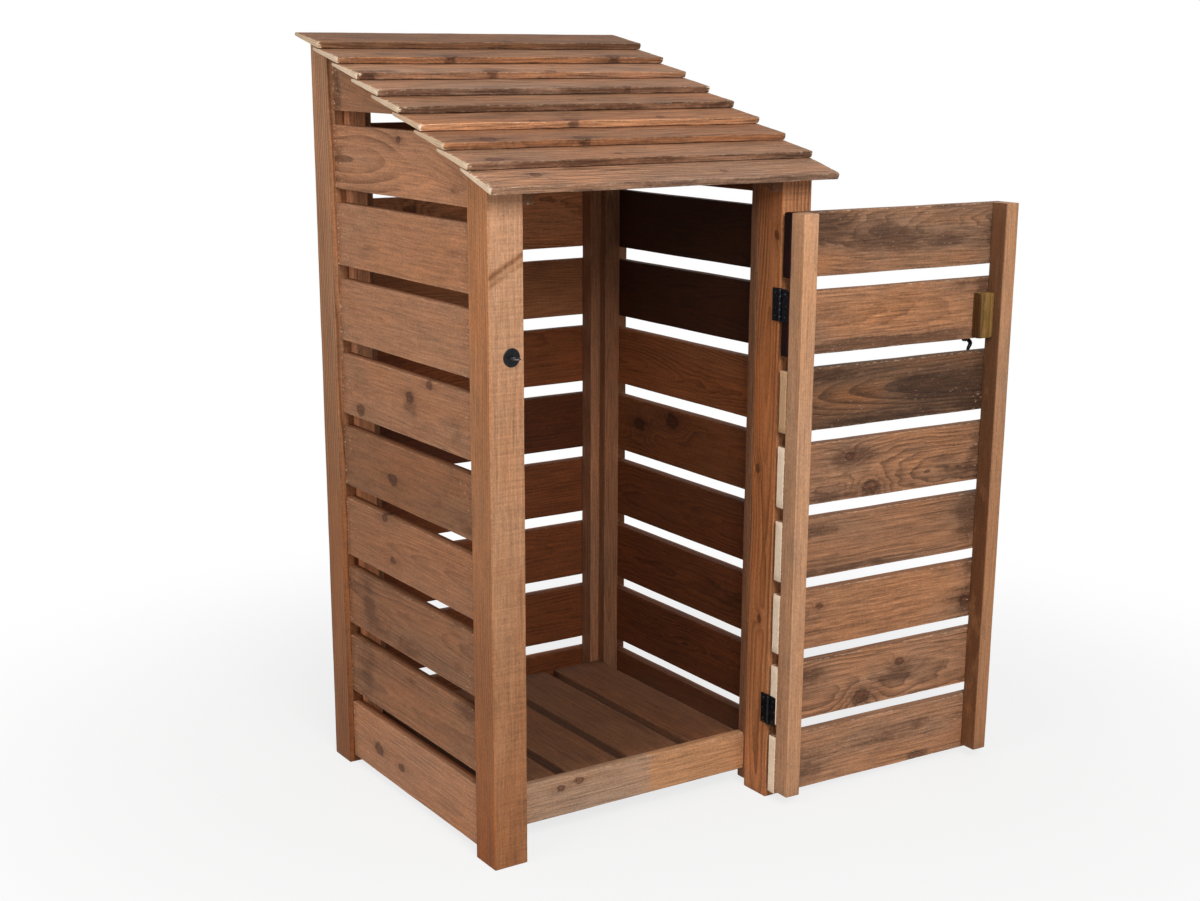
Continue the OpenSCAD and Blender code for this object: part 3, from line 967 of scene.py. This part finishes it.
boxes = [
    ((POST, y, slat_z - BATTEN), (FRAME_W - POST, y + BOARD_T, slat_z))
    for y in (POST + BOARD_T, FRAME_D - POST - BOARD_T)
]
battens("floor_bearers", boxes, 440, along=0, wide=2)
SLAT_GAP, SLAT_SLOT = 2.0, 12.0
span = FRAME_W - 2 * POST - 2 * SLAT_GAP
slats = math.floor((span + SLAT_SLOT) / (BOARD_H + SLAT_SLOT))
pitch = BOARD_H + (span - slats * BOARD_H) / (slats - 1)
slat_y0, slat_y1 = POST + BOARD_T + SLAT_GAP, FRAME_D - POST - SLAT_GAP
starts = [POST + SLAT_GAP + n * pitch for n in range(slats)]
boxes = [((x, slat_y0, slat_z), (x + BOARD_H, slat_y1, FLOOR_Z)) for x in starts]
battens("floor_slats", boxes, 450, along=1, wide=0)


def worn_top(u, a, b):
    """Cuts the rail's top front corner back along both sides, by a depth that drifts along it."""
    depth = 4 + 9 * wander(u, np.random.default_rng(3), 260.0)
    top, front = a / (RAIL_H / 2), -b / (BOARD_T / 2)
    corner = np.clip(top, 0, 1) ** 8 * np.clip(front, 0, 1) ** 2
    return a - corner * depth * 0.55, b + corner * depth * 0.6


draw = np.random.default_rng(460)
lo, hi = (POST, POST, RAIL_Z), (FRAME_W - POST, POST + BOARD_T, RAIL_Z + RAIL_H)
rail_look = dict(
    warm=0.45, value=1.16, rings=PLAIN, knots=[(-146, 30, 7), (-195, 22, 6)],
    stain=lambda u, a, b: np.where(u > 60, 0.7, -0.35),
)
part = board(lo, hi, 0, 2, draw, rail_look, radius=4.0, wane=worn_top)
piece("timber_front_rail", [part], RAIL_WOOD, "store", ["front_rail"])

# ---------------------------------------------------------------- roof
roof_back = FRAME_D + EAVE_BACK
roof_run = (FRAME_D + EAVE_BACK + EAVE_FRONT) / math.cos(SLOPE)
roof_step = (roof_run - ROOF_LAP) / ROOF_N
roof_width = roof_step + ROOF_LAP
# how far the lower edge of each board is lifted: on the board below, which is lifted itself
roof_seat = ROOF_THIN + ROOF_LAP * (ROOF_THICK - ROOF_THIN) / roof_width + LAP_GAP
on_edge = (ROOF_THIN + LAP_GAP) * roof_width / roof_step
roof_lifts = [0.0]
while len(roof_lifts) < ROOF_N:
    roof_lifts.insert(0, max(roof_seat + roof_lifts[0] * ROOF_LAP / roof_width, on_edge))
roof_top = FRONT_H + roof_back * RISE
LIP = roof_width / 2 - 4


def pale_lip(u, a, b):
    """Soaked on the top, and bleached on the thick lower edge."""
    return np.where(a > LIP + 1, -0.2, 0.14)


def roof_stain(edge, *spots):
    """The thick lower edge has a stain of its own, and the top has smudges, which fade on the edge."""
    top = smudges(*spots)

    def stain(u, a, b):
        share = np.clip((a - LIP) / 3, 0, 1)
        return edge * share + top(u, a, b) * (1 - 0.5 * share)

    return stain


# the boards from the back to the front
roof_looks = [
    dict(
        warm=0.6, value=0.6, soak=0.1, knots=[(60, 50, 7)],
        stain=roof_stain(-0.2, (-300, 0, 200, 30, -0.3), (200, 40, 160, 20, -0.4)),
    ),
    dict(
        warm=0.45, value=0.80, knots=[(-157, 56, 11), (299, 56, 11)],
        stain=roof_stain(0.7, (0, 10, 260, 20, -0.3), (-157, 50, 50, 24, -0.5), (299, 50, 60, 24, -0.5)),
    ),
    dict(
        warm=0.35, value=1.1, knots=[(-100, 54, 12), (60, 52, 9), (-420, 56, 13)],
        stain=roof_stain(0.3, (-380, 44, 50, 30, -0.7), (-90, 44, 60, 24, -0.6), (250, 30, 100, 20, -0.3)),
    ),
    dict(warm=0.25, value=0.97, knots=[(205, 62, 6)], stain=roof_stain(-0.55, (100, 50, 300, 16, -0.3))),
    dict(
        warm=0.3, value=0.88, soak=0.05, knots=[(40, 20, 5)],
        stain=roof_stain(-0.6, (-200, 50, 200, 16, -0.4), (150, 40, 120, 16, -0.3)),
    ),
    dict(
        warm=0.65, value=1.02, soak=pale_lip, knots=[(-71, 56, 11), (-163, 54, 8), (180, 40, 7)],
        stain=roof_stain(1.4, (-71, 46, 50, 24, -0.3), (0, -10, 500, 40, -0.45), (-320, 10, 80, 16, -0.4)),
    ),
    dict(
        warm=0.5, value=0.90, soak=0.12, knots=[(-103, 54, 11), (-330, 44, 13)],
        stain=roof_stain(
            0.3, (-103, 40, 60, 24, -0.6), (100, -10, 400, 40, -0.3), (-330, 40, 90, 26, -0.7),
        ),
    ),
    dict(
        warm=0.4, value=0.90, soak=0.04, knots=[(-372, 45, 11), (-60, 30, 5)],
        stain=roof_stain(-0.5, (-340, 46, 90, 20, -0.7), (200, 50, 200, 14, -0.3)),
    ),
    dict(
        warm=0.35, value=0.99, knots=[(-306, 0, 8), (154, 20, 5)],
        stain=roof_stain(-0.5, (-306, 0, 40, 20, -0.5), (50, 40, 260, 20, -0.2)),
    ),
]


def tapered(part, row):
    """Makes a timber a feather-edged board and lays it in its row of the roof.

    t runs from 0 at its upper edge to 1 at its lower one. The thickness grows with t, the
    underside is lifted by t times the row's lift, and the whole is turned to the slope.
    """
    u, a, b = part["points"].T
    t = a / roof_width + 0.5
    down = row * roof_step + t * roof_width
    thick = ROOF_THIN + (ROOF_THICK - ROOF_THIN) * t
    out = roof_lifts[row] * t + thick * (b / ROOF_THICK + 0.5)
    y = roof_back - down * math.cos(SLOPE) - out * math.sin(SLOPE)
    z = roof_top - down * math.sin(SLOPE) + out * math.cos(SLOPE)
    part["points"] = np.stack([u + FRAME_W / 2, y, z], axis=1)


roof_length = FRAME_W + 2 * EAVE_SIDE
roof_shape = dict(radius=1.4, step=16.0, warp=1.6, fray=2.4, through=3)
for row in range(ROOF_N):
    draw = np.random.default_rng(500 + row)
    part = timber(roof_length, roof_width, ROOF_THICK, draw, **roof_shape)
    looks(part, draw, raw=0.8, rings=SAWN, **roof_looks[row])
    tapered(part, row)
    name = "roof_board_%d" % (row + 1)
    piece("timber_" + name, [part], ROOF_WOOD, "store", [name])


# ---------------------------------------------------------------- door
def hinge_gap_shade(amount, rest=0.0):
    """Painted shadow: darkened by that amount at the end of a board that lies in the hinge gap, and by rest
    elsewhere.
    """
    return lambda u, a, b: rest + np.clip((u - (DOOR_X1 - DOOR_X0) / 2 + 3) / 2, 0, 1) * amount


door_looks = {
    7: dict(
        warm=0.25, value=0.83, raw=0.0, pith=(26, -40, -0.10), rings=(8.0, 1.4, 34.0),
        stain=smudges(
            (260, 44, 70, 36, -1.6), (60, 10, 120, 30, -1.2), (-150, -8, 110, 22, -1.0),
            (-300, 0, 30, 90, -1.4), (-160, 42, 130, 5, 1.8), (-180, -46, 90, 20, 0.8),
            (240, -40, 60, 24, 0.8),
        ),
        soak=hinge_gap_shade(3.2),
    ),
    6: dict(
        warm=0.5, value=0.96, raw=0.0, rings=(9.0, 0.7, 24.0),
        stain=smudges(
            (0, -62, 320, 14, -1.3), (-200, 62, 100, 12, -0.8), (270, -40, 50, 40, -1.2),
            (-280, 20, 26, 60, -1.4), (40, 10, 140, 30, 0.5),
        ),
        soak=hinge_gap_shade(3.2),
    ),
    5: dict(
        warm=0.25, value=0.53, raw=1.0, pith=(6, -36, -0.06), rings=(7.0, 2.0, 8.0),
        stain=smudges(
            (-130, 0, 110, 30, -2.0), (180, 52, 130, 20, -1.2), (0, -62, 320, 12, -1.2),
            (120, 0, 90, 24, 0.9), (-290, 0, 30, 90, -1.2),
        ),
        soak=hinge_gap_shade(0.35, 0.09),
    ),
    4: dict(
        warm=0.45, value=0.95, raw=1.0, rings=(8.0, 1.3, 34.0), knots=[(58, -51, 14), (124, 32, 8)],
        stain=smudges(
            (124, 32, 60, 30, -1.0), (-200, -40, 100, 20, -1.2), (150, -60, 120, 12, -1.2),
            (-290, 0, 30, 90, -1.2),
        ),
    ),
    3: dict(
        warm=0.4, value=0.91, raw=1.0, pith=(0, 90, 0.0), rings=(6.0, 1.0, 8.0),
        stain=smudges((200, 40, 80, 20, -0.9), (100, -64, 200, 10, -1.2), (-270, 20, 50, 60, -0.9)),
    ),
    2: dict(
        warm=0.5, value=0.97, raw=1.0, rings=(8.0, 0.5, 24.0), knots=[(-264, -28, 10), (200, 30, 6)],
        stain=smudges((-290, -40, 60, 40, -1.0), (-290, 50, 40, 40, -0.6)),
    ),
    1: dict(
        warm=0.5, value=1.06, raw=1.0, pith=(-30, -50, 0.06), rings=(9.5, 1.6, 26.0),
        knots=[(59, -48, 15), (-58, 23, 8)],
        stain=smudges((-40, -10, 120, 22, -0.9), (59, -48, 30, 20, -0.8), (230, 30, 70, 40, -0.8)),
    ),
    0: dict(
        warm=0.2, value=1.08, raw=1.0, rings=(7.0, 0.45, 24.0),
        stain=smudges((-40, 10, 180, 22, -1.0), (240, -20, 60, 30, -1.0), (-130, -66, 30, 12, -1.6)),
    ),
}
parts = []
for row in range(DOOR_N):
    draw = np.random.default_rng(600 + row)
    z0 = DOOR_Z + row * DOOR_PITCH
    lo, hi = (DOOR_X0, 0, z0), (DOOR_X1, BOARD_T, z0 + BOARD_H)
    parts.append(board(lo, hi, 0, 2, draw, door_looks[row], radius=1.3, warp=1.0))
piece("timber_door_boards", parts, DOOR_WOOD, "door", ["door_boards"])


def free_side_in_shade(a):
    """1 on the side of the free stile that faces the boards, where shade is painted, 0 elsewhere."""
    return np.clip(a - STILE_W / 2 + 2, 0, 1)


def towards_foot(u):
    """0 at the top of a stile and 1 at its foot."""
    return 0.5 - u / (DOOR_TOP - DOOR_Z)


# name, where it starts, seed, value, stain and soak; the free stile's side that faces the boards gets
# painted shade
stiles = (
    ("hinge", DOOR_X1 - STILE_W, 620, 1.12, 0.0, lambda u, a, b: 0.10 * towards_foot(u)),
    (
        "free",
        DOOR_X0,
        630,
        1.04,
        lambda u, a, b: -1.8 * free_side_in_shade(a) * (1 - 0.6 * towards_foot(u)),
        lambda u, a, b: 0.06 + 0.22 * towards_foot(u) + 0.28 * free_side_in_shade(a),
    ),
)
for name, x, seed, value, stain, soak in stiles:
    draw = np.random.default_rng(seed)
    lo, hi = (x, BOARD_T, DOOR_Z + STILE_UP), (x + STILE_W, BOARD_T + STILE_T, DOOR_TOP)
    look = dict(warm=0.5, value=value, raw=0.0, pith=(60, 90, 0.005), rings=STRAIGHT)
    look.update(stain=stain, soak=soak)
    part = board(lo, hi, 2, 0, draw, look, radius=1.6, step=40.0, across=6, through=6, fray=0.1)
    piece("timber_door_stile_" + name, [part], STILE_WOOD, "door", ["door_stile_" + name])


def block_side_in_shade(a):
    """1 on the side of the block towards the hinges, which lies in shade and is painted darker."""
    return np.clip(a - BLOCK_W / 2 + 2, 0, 1)


# Painted shade: the side towards the hinges is stained brown and darkened.
block_look = dict(
    warm=0.5, value=1.04, raw=0.0, rings=(9.0, 1.4, 8.0),
    stain=lambda u, a, b: -1.6 * block_side_in_shade(a) - 0.3,
    soak=lambda u, a, b: 0.12 + 0.4 * block_side_in_shade(a),
)
draw = np.random.default_rng(640)
lo = (DOOR_X0 + STILE_W, BOARD_T, HOOK_Z - BLOCK_H / 2)
hi = (DOOR_X0 + STILE_W + BLOCK_W, 2 * BOARD_T, HOOK_Z + BLOCK_H / 2)
part = board(lo, hi, 2, 0, draw, block_look, step=12.0)
piece("timber_door_block", [part], BLOCK_WOOD, "door", ["door_block"])


# ---------------------------------------------------------------- ironwork
IRON = dict(radius=0.5, step=8.0, warp=0.0, fray=0.0, across=6, through=2)


def plate(lo, hi):
    """A thin upright metal plate with eased edges, its thickness along x."""
    size = np.array(hi, float) - np.array(lo, float)
    part = laid(timber(size[2], size[1], size[0], np.random.default_rng(0), **IRON), lo, hi, 2, 1)
    del part["layers"]
    return part


def knuckle(z0, z1):
    """One ring of the hinge: a barrel with eased ends about the hinge axis."""
    r, e = KNUCKLE_R, 0.5
    profile = [(0, z0), (r - e, z0), (r, z0 + e), (r, z1 - e), (r - e, z1), (0, z1)]
    return lathe(profile, (AXIS_X, AXIS_Y, 0), (0, 0, 1))


SCREW_R, SCREW_UP, SCREW_IN = 2.6, 0.35, 0.3


def screw_head(middle, axis):
    """A screw head that stands a little proud: a shallow dome with a dished drive."""
    profile = [
        (0, -SCREW_IN),
        (SCREW_R, -SCREW_IN),
        (SCREW_R, SCREW_UP * 0.3),
        (SCREW_R * 0.8, SCREW_UP * 0.8),
        (SCREW_R * 0.45, SCREW_UP),
        (SCREW_R * 0.3, SCREW_UP * 0.2),
        (0, 0),
    ]
    return lathe(profile, middle, axis, 24)


LEAF_FRONT, TAB_END = 0.3 - AXIS_GAP, 4.0


def hinge_half(x, first, z):
    """Leaf, tabs and rings of one half of a hinge, whose rings are every second one from first."""
    seg = HINGE_H / KNUCKLES
    foot = z - HINGE_H / 2
    fit = KNUCKLE_FIT / 2
    parts = [plate((x, LEAF_FRONT, foot + fit), (x + LEAF_T, LEAF_W, foot + HINGE_H - fit))]
    for n in range(first, KNUCKLES, 2):
        z0, z1 = foot + n * seg + fit, foot + (n + 1) * seg - fit
        parts.append(plate((x, AXIS_Y, z0), (x + LEAF_T, TAB_END, z1)))
        parts.append(knuckle(z0, z1))
    return parts


for level, z in HINGE_ZS.items():
    on_post = hinge_half(FRAME_W - POST - LEAF_T, 0, z)
    on_door = hinge_half(DOOR_X1, 1, z)
    piece("iron_hinge_post_" + level, on_post, BLACK, "store", ["hinge_post_" + level])
    piece("iron_hinge_door_" + level, on_door, BLACK, "door", ["hinge_door_" + level])

PIN_HEAD_R, PIN_HEAD_H = KNUCKLE_R - 0.8, 1.6


def hinge_pin(foot):
    """A pin through the rings of a hinge, its rounded head on the top one."""
    top = foot + HINGE_H - KNUCKLE_FIT / 2
    pin_part = [(0, foot), (PIN_R, foot), (PIN_R, top)]
    side = (PIN_HEAD_R, top + PIN_HEAD_H - 0.7)
    head_part = [(PIN_HEAD_R, top), side, (PIN_HEAD_R * 0.7, side[1] + 0.5), (0, top + PIN_HEAD_H)]
    return lathe(pin_part + head_part, (AXIS_X, AXIS_Y, 0), (0, 0, 1), 28)


pins = [hinge_pin(z - HINGE_H / 2) for z in HINGE_ZS.values()]
piece("iron_hinge_pins", pins, BLACK, "store", ["hinge_pins"])

OUT = (0, -1, 0)
rim = [(ROSE_R - 0.6, 0), (ROSE_R, 0.5), (ROSE_R - 0.3, 1.1), (ROSE_R - 2.5, 1.5)]
rose = [(0, 0), *rim, (9, ROSE_T), (0, ROSE_T)]
STEM_R, STUD_GAP = 2.2, 0.7
CAD_RING_R = HOOK_R + 3.6
RING_R, RING_TUBE = CAD_RING_R + 1.4, 2.1
# the y of the middle of the eye's ring, and half its length
EYE_OUT, EYE_LONG = -15.0, 13.0


def eye_ring(x, y, z):
    """The eye: a torus stretched to an oval that stands out from the post."""
    part = torus((0, 0, 0), RING_R, RING_TUBE, (0, 0, 1))
    part["points"] = part["points"] * (1.0, EYE_LONG / RING_R, 1.0) + (x, y, z)
    return part


stem_end = -HOOK_Y - CAD_RING_R
stem = [(0, 1), (4.2, 1), (4.0, 2.6), (STEM_R, 3.2), (STEM_R, stem_end), (0, stem_end)]
eye_at = (EYE_X, 0, HOOK_Z)
eye = [lathe(rose, eye_at, OUT), lathe(stem, eye_at, OUT)]
piece("iron_eye_plate", eye, BLACK, "store", ["eye_plate"])
piece("iron_eye_ring", [eye_ring(EYE_X, EYE_OUT, HOOK_Z)], PAINTED_HIGHLIGHT_IRON, "store", [])

head_at = ROSE_T + HOOK_OFF + HUB_H / 2 + STUD_GAP
shank = [(5.0, 1), (4.6, 2.8), (HOOK_R, 3.4), (HOOK_R, head_at)]
head = [(HOOK_R + 2.2, head_at), (HOOK_R + 2.0, head_at + 1.0), (HOOK_R, head_at + 1.8)]
stud = [(0, 1), *shank, *head, (0, head_at + 1.8)]
hook_at = (HOOK_X, 0, HOOK_Z)
hook_base = [lathe(rose, hook_at, OUT), lathe(stud, hook_at, OUT)]
piece("iron_hook_plate", hook_base, BLACK, "door", ["hook_plate"])

# the arm hangs from the stud, with a jog and a knob part way down, and its tip is bent sideways
ARM_TOP, BEND_R = 5.0, 4.0
ARM_N, BEND_N, TIP_N = 60, 9, 5
KNOB = ((6, -63), (10, -64), (15, -64))
KNOB_R = (5.0, 6.2, 5.4)


def hump(at, middle, half):
    """A bell of height 1 about a middle: exp(-d * d), d being the distance in half widths."""
    return np.exp(-(((at - middle) / half) ** 2))


fall = ARM_TOP + np.linspace(0, 1, ARM_N) * (HOOK_LEN - ARM_TOP - BEND_R)
jog = 7.0 * hump(fall, 60.0, 7.0) - 7.0 * hump(fall, 76.0, 9.0)
arm = np.stack([jog, -fall], axis=1)
turn = np.linspace(0, math.pi / 2, BEND_N + 1)[1:]
bend = np.stack([BEND_R * (1 - np.cos(turn)), -HOOK_LEN + BEND_R - BEND_R * np.sin(turn)], axis=1)
tip = np.stack([np.linspace(5, TIP_LEN - HOOK_R, TIP_N), np.full(TIP_N, -HOOK_LEN)], axis=1)
thick = HOOK_R + 2.4 * hump(fall, 72.0, 20.0)
arm_radii = np.concatenate([thick, np.full(BEND_N, HOOK_R), np.linspace(HOOK_R, 2.0, TIP_N)])


def from_stud(path):
    """Points given as (sideways, up) from the stud, in the plane that the arm swings in."""
    path = np.array(path, float)
    return np.stack([HOOK_X + path[:, 0], np.full(len(path), HOOK_Y), HOOK_Z + path[:, 1]], axis=1)


hook = [
    torus((HOOK_X, HOOK_Y, HOOK_Z), HOOK_R + 2.0, 1.9, (0, 1, 0)),
    rod(from_stud(np.concatenate([arm, bend, tip])), arm_radii),
    rod(from_stud(KNOB), KNOB_R),
]
piece("iron_hook_arm", hook, BLACK, "hook", ["hook_arm"])


def leaf_screws(x, way):
    """Three screw heads on each hinge leaf, the middle one set further in."""
    spots = ((-26, 13.5), (0, 18.5), (26, 13.5))
    return [screw_head((x, y, z + up), (way, 0, 0)) for z in HINGE_ZS.values() for up, y in spots]


post_screws = leaf_screws(FRAME_W - POST - LEAF_T, -1)
door_screws = leaf_screws(DOOR_X1 + LEAF_T, 1)
piece("iron_screws_post", post_screws, SCREW, "store", [])
piece("iron_screws_door", door_screws, SCREW, "door", [])


# ---------------------------------------------------------------- stage, lights and camera
SHOWN = ("Is Camera Ray", "Is Glossy Ray", "Is Transmission Ray")
WHITE = (1.0, 1.0, 1.0, 1.0)


def seen(bench):
    """1 for rays that show the background: from the camera, or by a mirror or glass."""
    return most_of([bench.make("ShaderNodeLightPath", {}, out=name) for name in SHOWN])


def pale_floor():
    """A white ground that keeps the shadow near the object and turns plain white further out."""
    k = material_bench("pale_floor")
    where = k.make("ShaderNodeTexCoord", {}, out="Object")
    x, y, _ = k.split(where)
    far = ((x * x + y * y) ** 0.5).between(0.9, 2.4)
    matt = k.make("ShaderNodeBsdfDiffuse", {}, {"Color": (0.75, 0.75, 0.75, 1.0)})
    glow = k.make("ShaderNodeEmission", {}, {"Color": WHITE, "Strength": 1.0})
    mixed = k.make("ShaderNodeMixShader", {}, {0: (0.78 + far * 0.22) * seen(k), 1: matt, 2: glow})
    k.make("ShaderNodeOutputMaterial", {}, {"Surface": mixed})
    return k.holder


def ground(size=14.0, rows=24):
    """A flat square grid under the feet."""
    t = np.linspace(-size, size, rows)
    x, y = np.meshgrid(t, t, indexing="ij")
    points = np.stack([x, y, np.full_like(x, -0.0005)], axis=-1).reshape(-1, 3)
    i, j = np.meshgrid(np.arange(rows - 1), np.arange(rows - 1), indexing="ij")
    here = i * rows + j
    quads = np.stack([here, here + rows, here + rows + 1, here + 1], axis=-1).reshape(-1, 4)
    mesh = bpy.data.meshes.new("ground")
    mesh.from_pydata(points.tolist(), [], quads.tolist())
    mesh.materials.append(pale_floor())
    thing = bpy.data.objects.new("ground", mesh)
    bpy.context.scene.collection.objects.link(thing)


ground()

scene = bpy.context.scene
world = bpy.data.worlds.new("studio")
scene.world = world
sky = Bench(world)
soft = sky.make("ShaderNodeBackground", {}, {"Color": WHITE, "Strength": 0.30})
white = sky.make("ShaderNodeBackground", {}, {"Color": WHITE, "Strength": 1.0})
both = sky.make("ShaderNodeMixShader", {}, {0: seen(sky), 1: soft, 2: white})
sky.make("ShaderNodeOutputWorld", {}, {"Surface": both})


def panel(name, place, target, size, power):
    """A square soft lamp at a place, facing a target."""
    lamp = bpy.data.lights.new(name, "AREA")
    lamp.shape, lamp.size, lamp.energy = "SQUARE", size, power
    thing = bpy.data.objects.new(name, lamp)
    way = np.array(target, float) - np.array(place, float)
    thing.location = place
    flat = math.hypot(way[0], way[1])
    thing.rotation_euler = (math.atan2(flat, -way[2]), 0.0, math.atan2(-way[0], way[1]))
    scene.collection.objects.link(thing)


MIDDLE = (0.0, 0.0, 0.85)
panel("key", (-1.3, -3.9, 3.5), MIDDLE, 2.0, 150.0)
panel("side", (-4.0, -1.0, 2.8), MIDDLE, 2.2, 48.0)
panel("top", (0.2, 0.2, 5.0), MIDDLE, 3.0, 22.0)

# the camera: its lens in mm, its shift, where it stands in working mm, and its turn in degrees
SENSOR, LENS = 36.0, 53.116
SHIFT_X, SHIFT_Y = 0.01294, 0.06363
STAND = (-1776.9, -3123.8, 1746.95)
LOOK_DOWN, ROLL, TURN = 14.945, -0.088, -32.736

camera = bpy.data.cameras.new("camera")
camera.sensor_fit, camera.sensor_width, camera.lens = "HORIZONTAL", SENSOR, LENS
camera.shift_x, camera.shift_y = SHIFT_X, SHIFT_Y
viewer = bpy.data.objects.new("camera", camera)
viewer.location = at_rest(np.array([STAND]))[0]
viewer.rotation_euler = (math.radians(90 - LOOK_DOWN), math.radians(ROLL), math.radians(TURN))
scene.collection.objects.link(viewer)
scene.camera = viewer

scene.view_settings.view_transform = "Standard"
